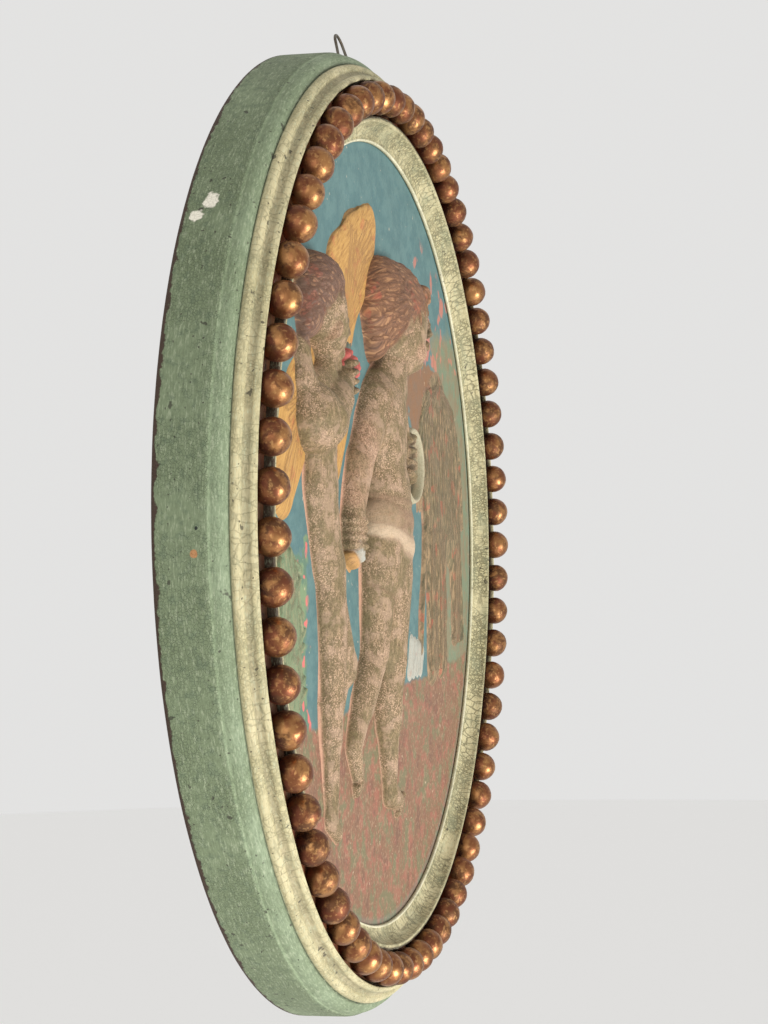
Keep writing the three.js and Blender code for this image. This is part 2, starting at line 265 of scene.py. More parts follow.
def frame_paint():
    """Crackled matt paint over white ground, with dark wood where the back edge has rubbed through."""
    paint = Finish("crackled_frame_paint", roughness=0.68)
    place = paint.place()
    coat = paint.painted("coat")
    fine, heavy, worn = paint.parts(paint.painted("finish", "Vector"))
    around = paint.painted("around", "Vector")

    cloud = paint.noise(place, 38, 4.0)
    speck = paint.noise(place, 900, 2.0)
    grit = paint.noise(place, 320, 3.0)
    tone = paint.mix(paint.step(cloud, 0.3, 0.7) * 0.35, coat, tint(196, 200, 170), "MULTIPLY")
    brushed = paint.noise(paint.scaled(around, (1.0, 1.0, 5.0)), 300, 4.0, 0.65)
    tone = paint.mix(paint.step(brushed, 0.5, 0.68) * 0.42, tone, tint(178, 186, 156))
    tone = paint.mix((1 - paint.step(brushed, 0.34, 0.49)) * 0.4, tone, tint(92, 100, 74))
    tone = paint.mix(paint.step(grit, 0.5, 0.7) * fine * 0.4, tone, tint(84, 100, 78))

    shaken = paint.shaken(place, 500, 0.0008)
    net = 1 - paint.step(paint.cracks(shaken, 760), 0.0, 0.12)
    fine_cracks = net * paint.step(cloud + grit * 0.5, 0.52, 0.8) * fine
    tone = paint.mix(fine_cracks * 0.3, tone, tint(66, 78, 58))

    shaken_far = paint.shaken(around, 500, 0.0012)
    small = 1 - paint.step(paint.cracks(paint.scaled(shaken_far, (1.0, 1.0, 0.8)), 560), 0.0, 0.17)
    broad = 1 - paint.step(paint.cracks(paint.scaled(shaken_far, (1.0, 1.0, 0.55)), 270), 0.0, 0.09)
    plates = paint.maths("MAXIMUM", broad, small * paint.step(cloud, 0.4, 0.56))
    streaks = paint.noise(paint.scaled(around, (1.0, 1.0, 7.0)), 85, 4.0, 0.6)
    long_cracks = paint.step(streaks, 0.56, 0.66)
    broken = plates * paint.step(paint.noise(place, 75, 3.0), 0.24, 0.5)
    heavy_cracks = paint.maths("MAXIMUM", broken, long_cracks * 0.7) * heavy
    tone = paint.mix(heavy_cracks * 0.72, tone, tint(82, 78, 52))
    stain = paint.step(paint.noise(paint.scaled(around, (1.0, 1.0, 2.5)), 60, 4.0), 0.45, 0.72) * heavy
    tone = paint.mix(stain * 0.36, tone, tint(132, 138, 110))

    few = paint.step(paint.noise(place, 210, 2.0), 0.69, 0.73)
    many = paint.step(paint.noise(place, 520, 1.0), 0.72, 0.77)
    tone = paint.mix(paint.maths("MAXIMUM", few, many) * 0.75, tone, tint(44, 40, 28))
    edge = paint.step(worn + paint.noise(place, 150, 4.0, 0.65) * 0.95, 0.93, 1.03)
    tone = paint.mix(edge, tone, tint(62, 44, 30))

    ragged = paint.noise(place, 340, 2.0)
    chips = paint.maths(
        "MAXIMUM",
        paint.near(paint.scaled(place, (0.9, 1.06, 1.04)), (-0.1577, -0.0066, 0.1194), 0.0033, ragged),
        paint.near(paint.scaled(place, (0.6, 0.86, 0.6)), (-0.1027, -0.0089, 0.0724), 0.0028, ragged),
    )
    tone = paint.mix(chips, tone, tint(236, 230, 212))
    bare = paint.near(place, (-0.2094, -0.0157, -0.0075), 0.0017, ragged)
    tone = paint.mix(bare * 0.8, tone, tint(186, 124, 74))
    # Painted shade: a near-black spot standing for a small nick in the side near the back edge.
    nick_shade = paint.near(place, (-0.2089, -0.0168, 0.0013), 0.0011, ragged)
    tone = paint.mix(nick_shade, tone, tint(20, 30, 22))

    height = (1 - fine_cracks * 0.6) - heavy_cracks * 0.8 - chips * 1.2
    height = height + speck * 0.35 + grit * 0.3 - edge * 0.8
    roughness = 0.6 + grit * 0.2 + chips * 0.1
    return paint.lay(tone, roughness, height, 0.00035, 0.8)


def bead_paint(settings):
    """Rubbed bronze paint, darker in patches and brighter where it is handled; the beads' lower parts and
    their strip, down in the groove, are darkened and dulled as painted shade.
    """
    paint = Finish("rubbed_bronze_paint", roughness=0.36, metallic=0.8)
    place = paint.place()
    tone_share = paint.painted("tone", "Fac")
    _, y, _ = paint.parts(place)
    patch = paint.noise(paint.shaken(place, 90, 0.01), 210, 4.0, 0.6)
    rub = paint.noise(place, 700, 3.0)
    bronze, patch_and_shade = tuple(settings.bronze), tuple(settings.patch_and_shade_bronze)
    height_in_mm = y * -1000
    # Painted shade: darker towards the groove's floor, on the beads' lower parts and on the strip.
    low = 1 - paint.step(height_in_mm, 32.5, 39.5)
    dark = paint.step(patch + tone_share * 0.14 - 0.07, 0.42, 0.6) * 0.75 + low * 0.6
    dark = paint.maths("MINIMUM", dark, 1.0)
    tone = paint.mix(dark, bronze, patch_and_shade)
    red = paint.step(paint.noise(place, 150, 2.0), 0.4, 0.6) * 0.65
    tone = paint.mix(red, tone, tint(110, 58, 38))
    bright = paint.step(rub, 0.54, 0.7) * (1 - low) * 0.45
    tone = paint.mix(bright, tone, tint(200, 154, 98))
    roughness = 0.3 + rub * 0.12 + dark * 0.22
    return paint.lay(tone, roughness, patch * 0.7 + rub * 0.4, 0.0004, 0.5)


def relief_paint(name, stipple_light, stipple_dark, stroke_light, stroke_dark):
    """Matt paint over cast plaster: stippled on skin, brushed along hair, feathers and bark, with painted
    shade in the creases.
    """
    paint = Finish(name, roughness=0.72)
    place = paint.place()
    coat = paint.painted("coat")
    stipple, streak, crease = paint.parts(paint.painted("finish", "Vector"))
    hollow = paint.painted("hollow", "Fac")
    grain = paint.painted("grain", "Vector")

    cloud = paint.noise(place, 75, 4.0, 0.6)
    dots = paint.noise(place, 1600, 1.0, 0.5)
    pits = paint.noise(place, 1450, 2.0, 0.7)
    drag = paint.noise(paint.scaled(place, (1.0, 1.0, 0.3)), 620, 3.0, 0.6)
    tone = paint.mix(paint.step(cloud, 0.42, 0.62) * 0.45 * stipple, coat, tint(114, 102, 64))
    tone = paint.mix((1 - paint.step(drag, 0.37, 0.5)) * stipple * 0.5, tone, tint(98, 84, 52))
    tone = paint.mix(paint.step(drag, 0.52, 0.64) * stipple * 0.45, tone, tint(168, 140, 106))
    light = paint.step(dots, 0.5, 0.62) * stipple * paint.step(cloud, 0.62, 0.38)
    tone = paint.mix(light * 0.55, tone, stipple_light)
    dark = paint.step(pits, 0.49, 0.62) * (stipple * 0.85 + 0.15)
    tone = paint.mix(dark * 0.62, tone, stipple_dark)

    strokes = paint.noise(paint.scaled(grain, (150.0, 900.0, 1.0)), 1.0, 3.0, 0.7, 0.25)
    hatch = paint.noise(paint.scaled(grain, (160.0, 480.0, 1.0)), 1.0, 2.0, 0.5, 0.2)
    tone = paint.mix(paint.step(strokes, 0.51, 0.62) * streak * 0.55, tone, stroke_light)
    tone = paint.mix((1 - paint.step(strokes, 0.36, 0.48)) * streak * 0.75, tone, stroke_dark)
    flecks = paint.step(paint.noise(place, 110, 2.0), 0.58, 0.64) * paint.step(hatch, 0.4, 0.6)
    tone = paint.mix(flecks * streak * 0.5, tone, tint(176, 84, 62))
    joint = paint.maths("MAXIMUM", crease, 0.0)
    contour = paint.maths("MAXIMUM", crease * -1.0, 0.0)
    rubbed = (1 - paint.step(hollow, 0.0, 0.16)) * paint.step(paint.noise(place, 130, 4.0, 0.65), 0.48, 0.62)
    tone = paint.mix(rubbed * stipple * 0.34, tone, tint(196, 162, 138))
    # Painted shade: darker where the surface is closed in, deepest in the creases.
    tone = paint.mix(paint.step(hollow, 0.2, 0.7) * 0.52, tone, tint(66, 52, 36))
    # Painted shade: a darker line where two groups of forms meet.
    tone = paint.mix(joint * 0.8, tone, tint(112, 74, 56))
    tone = paint.mix(contour * paint.step(cloud, 0.3, 0.5) * 0.7, tone, tint(202, 150, 124))

    height = dots * 0.3 * stipple + pits * 0.4 + hatch * streak * 1.4 + strokes * streak * 0.9
    return paint.lay(tone, 0.62 + pits * 0.2, height, 0.0004, 0.7)


def ground_paint(settings):
    """The flat painting behind the figures: sky, distant foliage, a bush and the earth."""
    paint = Finish("painted_ground", roughness=0.7)
    place = paint.place()
    share = 1 / settings.visible_radius
    x, y, z = paint.parts(paint.scaled(place, (share, 1.0, share)))
    wander = paint.noise(place, 36, 4.0, 0.6) - 0.5
    brush = paint.noise(paint.scaled(place, (1.0, 1.0, 1.1)), 120, 4.0, 0.6)
    fine = paint.noise(place, 620, 3.0)
    sky, earth, foliage = tuple(settings.sky), tuple(settings.earth), tuple(settings.foliage)

    tone = paint.mix(paint.step(brush, 0.38, 0.66) * 0.5, sky, tint(100, 130, 126))
    tone = paint.mix(paint.step(fine, 0.56, 0.7) * 0.25, tone, tint(58, 98, 110))
    green_edge = x + z * 0.12 + wander * 0.22
    green = paint.step(green_edge, 0.6, 0.66) * (1 - paint.step(z + wander * 0.2, 0.56, 0.62))
    far_green = paint.mix(paint.step(brush, 0.4, 0.58) * 0.5, foliage, tint(136, 114, 86))
    tone = paint.mix(green, tone, far_green)
    blooms = paint.step(paint.noise(place, 75, 2.0), 0.55, 0.6)
    patch = paint.near(paint.scaled(place, (0.6, 0.0, 1.0)), (0.045, 0.0, 0.058), 0.026, wander * 2.4 + 0.5)
    tone = paint.mix(patch * (0.6 + brush * 0.6), tone, tint(130, 92, 60))
    high = paint.step(z + wander * 0.1, 0.42, 0.48) * paint.step(x, 0.3, 0.4)
    high = high * (1 - paint.step(z + x * 0.35, 0.93, 0.99))
    tone = paint.mix(blooms * high * 0.75, tone, tint(190, 112, 92))
    bush = (1 - paint.step(x + wander * 0.34, -0.72, -0.69)) * paint.step(z, -0.52, -0.46)
    bush = bush * (1 - paint.step(z + wander * 0.7, -0.06, -0.03))
    leaves = paint.mix(paint.step(brush, 0.42, 0.56), tint(116, 136, 100), tint(88, 116, 96))
    tone = paint.mix(bush, tone, leaves)
    buds = paint.step(paint.noise(place, 150, 1.0), 0.58, 0.63)
    tone = paint.mix(buds * bush * 0.9, tone, tint(214, 104, 102))
    horizon = z - x * 0.056 + wander * 0.1
    ground = 1 - paint.step(horizon, -0.43, -0.414)
    streak = paint.noise(paint.scaled(place, (1.0, 1.0, 0.8)), 85, 4.0, 0.7)
    soil = paint.mix(paint.step(streak, 0.48, 0.58) * 0.75, earth, tint(106, 108, 76))
    soil = paint.mix(paint.step(brush, 0.5, 0.62) * 0.55, soil, tint(156, 92, 76))
    soil = paint.mix((1 - paint.step(streak, 0.36, 0.47)) * 0.6, soil, tint(104, 74, 58))
    soil = paint.mix(paint.step(fine, 0.54, 0.64) * 0.4, soil, tint(166, 138, 110))
    tone = paint.mix(ground, tone, soil)
    # Painted highlight: a lighter blue ring just inside the lip, for the light on the panel's edge curving
    # up.
    rim = paint.step(x * x + z * z, 0.955, 0.985)
    tone = paint.mix(rim * 0.2, tone, tint(104, 138, 134))
    moss = paint.step(paint.noise(paint.scaled(place, (1.0, 1.0, 0.4)), 150, 4.0, 0.7), 0.5, 0.6)
    tone = paint.mix(moss * green * 0.5, tone, tint(128, 104, 76))
    pale = paint.step(paint.noise(place, 330, 2.0), 0.7, 0.75)
    tone = paint.mix(pale * 0.5, tone, tint(214, 192, 164))
    plaster = paint.mix(paint.step(brush, 0.4, 0.64) * 0.5, tint(176, 166, 142), tint(150, 138, 114))
    tone = paint.mix(paint.step(y, -0.024, -0.018), tone, plaster)
    height = brush * 0.8 + fine * 0.4 + streak * ground * 0.8
    return paint.lay(tone, 0.6 + fine * 0.2, height, 0.0006, 0.7)


def wire_metal(settings):
    """Dull wire, darker in patches."""
    paint = Finish("dull_wire", roughness=0.42, metallic=0.85)
    place = paint.place()
    patch = paint.noise(place, 260, 3.0)
    tone = paint.mix(paint.step(patch, 0.45, 0.65) * 0.6, tuple(settings.metal), tint(74, 58, 42))
    return paint.lay(tone, 0.34 + patch * 0.3, patch, 0.0001, 0.3)


def plain_paint(name, shade):
    """A plain pale surface for the stage."""
    paint = Finish(name, roughness=0.9)
    paint.surface.inputs["Base Color"].default_value = (*shade, 1.0)
    return paint.material


# Geometry node trees


class Growth:
    """One geometry node tree with named inputs, and the modifier that runs it."""

    def __init__(self, name, inputs):
        self.tree = bpy.data.node_groups.new(name, "GeometryNodeTree")
        self.tree.interface.new_socket("Geometry", in_out="INPUT", socket_type="NodeSocketGeometry")
        self.identifiers = {}
        for label, (kind, value) in inputs.items():
            socket = self.tree.interface.new_socket(label, in_out="INPUT", socket_type=kind)
            self.identifiers[label] = socket.identifier
            if kind != "NodeSocketMaterial":
                socket.default_value = value
        self.tree.interface.new_socket("Geometry", in_out="OUTPUT", socket_type="NodeSocketGeometry")
        self.values = {label: value for label, (kind, value) in inputs.items()}
        self.given = self.tree.nodes.new("NodeGroupInput")
        self.result = self.tree.nodes.new("NodeGroupOutput")

    def input(self, label):
        return self.given.outputs[label]

    def node(self, kind, sockets=None, out=0, **settings):
        node = self.tree.nodes.new(kind)
        for name, value in settings.items():
            setattr(node, name, value)
        for key, value in (sockets or {}).items():
            if isinstance(value, bpy.types.NodeSocket):
                self.tree.links.new(value, node.inputs[key])
            else:
                node.inputs[key].default_value = value
        return node.outputs[out]

    def close(self, geometry):
        """Ends the tree with real geometry that has its material."""
        real = self.node("GeometryNodeRealizeInstances", {"Geometry": geometry})
        smooth = self.node("GeometryNodeSetShadeSmooth", {"Geometry": real})
        sockets = {"Geometry": smooth, "Material": self.input("Material")}
        self.tree.links.new(self.node("GeometryNodeSetMaterial", sockets), self.result.inputs[0])

    def grow(self, piece):
        """Runs the tree on a piece and leaves it as a plain mesh."""
        modifier = piece.modifiers.new(self.tree.name, "NODES")
        modifier.node_group = self.tree
        for label, value in self.values.items():
            modifier[self.identifiers[label]] = value
        bpy.context.view_layer.update()
        seen = piece.evaluated_get(bpy.context.evaluated_depsgraph_get())
        mesh = bpy.data.meshes.new_from_object(seen)
        piece.modifiers.remove(modifier)
        piece.data = mesh
        return piece


def swept_ring(settings, material):
    """A cross-section carried round a circle, with a slight waver from the hand."""
    growth = Growth(
        "moulded_ring",
        {
            "Row Radius": ("NodeSocketFloat", settings.groove_outer),
            "Segments": ("NodeSocketInt", settings.segments),
            "Waver": ("NodeSocketFloat", settings.waver),
            "Material": ("NodeSocketMaterial", material),
        },
    )
    section = growth.node("GeometryNodeMeshToCurve", {"Mesh": growth.input("Geometry")})
    circle = growth.node(
        "GeometryNodeCurvePrimitiveCircle",
        {"Resolution": growth.input("Segments"), "Radius": growth.input("Row Radius")},
    )
    ring = growth.node("GeometryNodeCurveToMesh", {"Curve": circle, "Profile Curve": section})
    upright = growth.node("GeometryNodeTransform", {"Geometry": ring, "Rotation": (math.pi / 2, 0, 0)})
    noise = growth.node("ShaderNodeTexNoise", {"Scale": 45.0, "Detail": 3.0}, out="Color")
    centred = growth.node("ShaderNodeVectorMath", {0: noise, 1: (0.5, 0.5, 0.5)}, operation="SUBTRACT")
    moved = growth.node(
        "ShaderNodeVectorMath", {0: centred, "Scale": growth.input("Waver")}, operation="SCALE"
    )
    growth.close(growth.node("GeometryNodeSetPosition", {"Geometry": upright, "Offset": moved}))
    return growth


def strung_beads(settings, material):
    """Beads set evenly round a circle on a narrow backing strip, each turned and sized by chance."""
    step = 2 * math.pi / settings.count
    growth = Growth(
        "strung_beads",
        {
            "Beads": ("NodeSocketInt", settings.count),
            "Row Radius": ("NodeSocketFloat", settings.row_radius),
            "Bead Radius": ("NodeSocketFloat", settings.bead_radius),
            "Centre Height": ("NodeSocketFloat", settings.centre_height),
            "First Turn": ("NodeSocketFloat", 0.62 * step),
            "Dent": ("NodeSocketFloat", 0.0006),
            "Seed": ("NodeSocketInt", 7),
            "Material": ("NodeSocketMaterial", material),
        },
    )
    circle = growth.node(
        "GeometryNodeMeshCircle", {"Vertices": growth.input("Beads"), "Radius": growth.input("Row Radius")}
    )
    bead = growth.node(
        "GeometryNodeMeshUVSphere", {"Segments": 26, "Rings": 17, "Radius": growth.input("Bead Radius")}
    )
    turn = growth.node(
        "FunctionNodeRandomValue",
        {0: (0, 0, 0), 1: (6.2, 6.2, 6.2), "Seed": growth.input("Seed")},
        data_type="FLOAT_VECTOR",
    )
    size = growth.node("FunctionNodeRandomValue", {2: 0.97, 3: 1.015, "Seed": 3}, out=1, data_type="FLOAT")
    beads = growth.node(
        "GeometryNodeInstanceOnPoints", {"Points": circle, "Instance": bead, "Rotation": turn, "Scale": size}
    )
    chance = growth.node("FunctionNodeRandomValue", {2: 0.0, 3: 1.0, "Seed": 11}, out=1, data_type="FLOAT")
    toned = growth.node(
        "GeometryNodeStoreNamedAttribute",
        {"Geometry": beads, "Name": "tone", "Value": chance},
        data_type="FLOAT",
        domain="INSTANCE",
    )
    real = growth.node("GeometryNodeRealizeInstances", {"Geometry": toned})
    noise = growth.node("ShaderNodeTexNoise", {"Scale": 150.0, "Detail": 2.0}, out="Color")
    centred = growth.node("ShaderNodeVectorMath", {0: noise, 1: (0.5, 0.5, 0.5)}, operation="SUBTRACT")
    moved = growth.node(
        "ShaderNodeVectorMath", {0: centred, "Scale": growth.input("Dent")}, operation="SCALE"
    )
    dented = growth.node("GeometryNodeSetPosition", {"Geometry": real, "Offset": moved})
    path = growth.node(
        "GeometryNodeCurvePrimitiveCircle", {"Resolution": 268, "Radius": growth.input("Row Radius")}
    )
    strip_width, strip_height, strip_drop = 0.011, 0.0026, 0.0059
    section = growth.node(
        "GeometryNodeCurvePrimitiveQuadrilateral", {"Width": strip_width, "Height": strip_height}
    )
    strip = growth.node("GeometryNodeCurveToMesh", {"Curve": path, "Profile Curve": section})
    sunk = growth.node("GeometryNodeTransform", {"Geometry": strip, "Translation": (0, 0, -strip_drop)})
    both = growth.tree.nodes.new("GeometryNodeJoinGeometry")
    for part in (dented, sunk):
        growth.tree.links.new(part, both.inputs[0])
    spun = growth.node("ShaderNodeCombineXYZ", {"Z": growth.input("First Turn")})
    turned = growth.node("GeometryNodeTransform", {"Geometry": both.outputs[0], "Rotation": spun})
    lift = growth.node("ShaderNodeCombineXYZ", {"Z": growth.input("Centre Height")})
    raised = growth.node("GeometryNodeTransform", {"Geometry": turned, "Translation": lift})
    growth.close(growth.node("GeometryNodeTransform", {"Geometry": raised, "Rotation": (math.pi / 2, 0, 0)}))
    return growth


def bent_wire(settings, material):
    """A round wire along a path."""
    growth = Growth(
        "bent_wire",
        {
            "Wire Radius": ("NodeSocketFloat", settings.wire_diameter / 2),
            "Material": ("NodeSocketMaterial", material),
        },
    )
    path = growth.node("GeometryNodeMeshToCurve", {"Mesh": growth.input("Geometry")})
    section = growth.node(
        "GeometryNodeCurvePrimitiveCircle", {"Resolution": 16, "Radius": growth.input("Wire Radius")}
    )
    growth.close(
        growth.node("GeometryNodeCurveToMesh", {"Curve": path, "Profile Curve": section, "Fill Caps": True})
    )
    return growth


# Meshes


def new_piece(name, points, faces=(), edges=()):
    """A mesh object at the origin, with its place in its mesh."""
    mesh = bpy.data.meshes.new(name)
    mesh.from_pydata([tuple(p) for p in points], [tuple(e) for e in edges], [tuple(f) for f in faces])
    piece = bpy.data.objects.new(name, mesh)
    bpy.context.scene.collection.objects.link(piece)
    return piece


def give(piece, name, kind, values):
    """Stores one value for each point of a piece's mesh."""
    attribute = piece.data.attributes.new(name, kind, "POINT")
    field = "color" if kind == "FLOAT_COLOR" else "vector" if kind == "FLOAT_VECTOR" else "value"
    attribute.data.foreach_set(field, np.asarray(values, np.float32).ravel())


def face_outwards(piece):
    """Turns the faces round if the mesh encloses a negative volume."""
    mesh = piece.data
    mesh.calc_loop_triangles()
    points = np.array([v.co for v in mesh.vertices])
    corners = points[np.array([t.vertices for t in mesh.loop_triangles])]
    volume = np.einsum("ij,ij->i", corners[:, 0], np.cross(corners[:, 1], corners[:, 2])).sum()
    if volume < 0:
        mesh.flip_normals()


def settle(piece, node):
    """The piece stands for a node of the solid model, which is hidden."""
    face_outwards(piece)
    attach(piece, "root")
    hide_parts(node)


# The frame's cross-section, as radius and height in millimetres


def arc(start, end, swell, steps):
    """Points from start to end along a bow that stands off their line by a share of its length."""
    start, end = np.array(start, float), np.array(end, float)
    across = np.array([end[1] - start[1], start[0] - end[0]])
    shares = np.linspace(0, 1, steps + 1)[1:]
    return [tuple(start + (end - start) * s + across * swell * 4 * s * (1 - s)) for s in shares]


def frame_section(settings):
    """The cross-section's points with each one's coat, crackle and wear, some coats being painted shade and a
    painted highlight.
    """
    side, band = tuple(settings.side_green), tuple(settings.band_green)
    cream, trough_shade = tuple(settings.cream), tuple(settings.trough_shade_cream)
    quirk_shade, dark, wood = tint(74, 84, 58), tint(66, 48, 32), tint(122, 96, 70)
    band_highlight = tuple(min(1.0, c * 1.28) for c in band)
    band_shade = tuple(c * 0.72 for c in band)
    rows = []

    def add(points, coat, fine=0.0, heavy=0.0, worn=0.0):
        rows.extend((point, coat, (fine, heavy, worn)) for point in points)

    add([(176.0, 0.0), (188.0, 0.0), (200.0, 0.0), (208.6, 0.0)], wood)
    add(arc((208.6, 0.0), (209.9, 0.7), 0.18, 2), dark, 0.5, 0, 0.7)
    add([(209.92, 1.6)], side, 1, 0, 0.5)
    add([(209.9, 3.2)], side, 1, 0, 0.26)
    add(arc((209.9, 3.2), (209.5, 18.6), 0.0, 9), side, 1.0)
    # Painted shade: a darker copy of the side green where the side rounds over into the band.
    add(arc((209.5, 18.6), (209.0, 20.3), 0.1, 2), tuple(c * 0.9 for c in side), 1, 0, 0.14)
    # Painted highlight: a paler copy of the band green on the rounded edge.
    add(arc((209.0, 20.3), (208.6, 20.8), -0.1, 1), band_highlight, 0.5, 0, 0.1)
    add(arc((208.6, 20.8), (204.7, 26.2), 0.16, 7), band, 0.55)
    # Painted shade: a darker copy of the band green, and darker green in the quirk, where the band dips into
    # it.
    add(arc((204.7, 26.2), (204.2, 26.6), 0.0, 1), band_shade, 0.3)
    add([(203.8, 26.3), (203.4, 26.5)], quirk_shade)
    add(arc((203.4, 26.5), (201.9, 29.9), 0.26, 6), cream, 0, 0.5, 0.06)
    add(arc((201.9, 29.9), (200.9, 29.9), 0.3, 2), cream, 0, 0.55)
    # Painted shade: darker cream in the trough between the two lips.
    add(arc((200.9, 29.9), (199.0, 32.4), -0.2, 5), trough_shade, 0, 0.55)
    add(arc((199.0, 32.4), (197.9, 34.5), 0.14, 4), cream, 0, 0.5, 0.08)
    add(arc((197.9, 34.5), (196.75, 34.5), 0.28, 3), cream, 0, 0.5)
    # Painted shade: dark brown on the groove's walls and floor, under the beads.
    add(arc((196.75, 34.5), (196.7, 29.5), 0.0, 3), dark)
    add(arc((196.7, 29.5), (181.7, 29.5), 0.0, 2), dark)
    add(arc((181.7, 29.5), (181.7, 34.9), 0.0, 3), dark)
    add(arc((181.7, 34.9), (180.9, 35.5), 0.24, 2), dark, 0, 0.2)
    add(arc((180.9, 35.5), (179.4, 35.6), 0.1, 2), cream, 0, 0.7)
    add(arc((179.4, 35.6), (172.7, 28.6), -0.17, 12), cream, 0, 1.0)
    add(arc((172.7, 28.6), (171.6, 28.5), 0.3, 3), tint(222, 214, 184), 0, 0.3)
    # Painted shade: darker cream on the lip's underside beside the panel.
    add(arc((171.6, 28.5), (171.4, 27.35), 0.0, 1), trough_shade)
    add([(176.0, 27.35), (176.0, 13.0)], wood)
    return rows


# Forms of the relief. A round is (x, z, radius, top): x, z and radius are shares of the visible
# radius, and top is the share of the relief's depth that it stands above the ground.

Form = namedtuple("Form", "start end coat base blend hoop")
# A coat's crease sets how strongly painted shade darkens the line where its forms meet another group.
Coat = namedtuple("Coat", "shade stipple streak crease")

COATS = {
    "skin": Coat(tint(121, 102, 71), 1.0, 0.0, 0.35),
    "flush": Coat(tint(160, 126, 100), 1.0, 0.0, 0.3),
    "dark hair": Coat(tint(106, 80, 66), 0.0, 0.8, 0.7),
    "red hair": Coat(tint(128, 90, 62), 0.0, 1.0, 0.7),
    "wing": Coat(tint(180, 136, 72), 0.0, 0.75, 0.4),
    "rose": Coat(tint(186, 84, 80), 0.2, 0.0, 0.6),
    "leaf": Coat(tint(74, 98, 92), 0.2, 0.3, 0.6),
    "bark": Coat(tint(116, 98, 70), 0.25, 1.0, 0.3),
    "foliage": Coat(tint(106, 96, 68), 0.45, 1.0, 0.3),
    "bush": Coat(tint(110, 132, 98), 0.3, 0.5, 0.3),
    "sash": Coat(tint(148, 124, 96), 0.35, 0.15, 0.5),
    # Painted highlight: a paler sash colour for the lowest fold.
    "pale sash": Coat(tint(200, 176, 147), 0.2, 0.2, 0.5),
    "white cloth": Coat(tint(168, 168, 156), 0.1, 0.35, 0.4),
    "gold cloth": Coat(tint(184, 138, 80), 0.1, 0.4, 0.4),
    "drum": Coat(tint(176, 162, 126), 0.35, 0.1, 0.4),
    "rim": Coat(tint(172, 166, 138), 0.2, 0.3, 0.4),
}


def form(start, end, coat, base=0.0, blend=2.2, hoop=0.0):
    return Form(start, end, coat, base, blend, hoop)


def height_over(forms, x, z):
    """Height share of the highest of some forms above a point of the ground."""
    highest = 0.0
    for item in forms:
        start, end = np.array(item.start), np.array(item.end)
        run = end[:2] - start[:2]
        share = np.clip(((x, z) - start[:2]) @ run / max(run @ run, 1e-9), 0, 1)
        middle = start + (end - start) * share
        away = math.hypot(x - middle[0], z - middle[1]) / middle[2]
        if away < 1:
            highest = max(highest, item.base + (middle[3] - item.base) * math.sqrt(1 - away * away))
    return highest


def chain(under, points, widths, lift, coat, lowest=0.22, blend=0.5):
    """A chain of thin forms laid over other forms, following their surface."""
    rounds = [
        (x, z, width, max(height_over(under, x, z), lowest) + lift)
        for (x, z), width in zip(points, widths)
    ]
    return [
        form(near, far, coat, max(0.02, min(near[3], far[3]) - 0.3), blend)
        for near, far in zip(rounds, rounds[1:])
    ]


def lock(under, points, width, lift, coat, waves=0.0, phase=0.0, taper=0.45, lowest=0.22):
    """A lock of hair or leaves that grows narrower towards its tip."""
    shares = np.linspace(0, 1, len(points))
    moved = [(x, z + waves * math.sin(phase + 13 * share)) for (x, z), share in zip(points, shares)]
    return chain(under, moved, [width * (1 - taper * share**2) for share in shares], lift, coat, lowest)


def strap(under, points, width, lift, coat):
    """A band of cloth or a ridge that grows narrower towards both ends."""
    shares = np.linspace(-1, 1, len(points))
    return chain(under, points, [width * (1 - 0.65 * share**4) for share in shares], lift, coat, 0.05, 1.5)


def bent(start, middle, end, steps):
    """Points along a bend through three control points."""
    shares = np.linspace(0, 1, steps)
    a, b, c = (np.array(p) for p in (start, middle, end))
    return [tuple(a * (1 - s) ** 2 + b * 2 * s * (1 - s) + c * s * s) for s in shares]


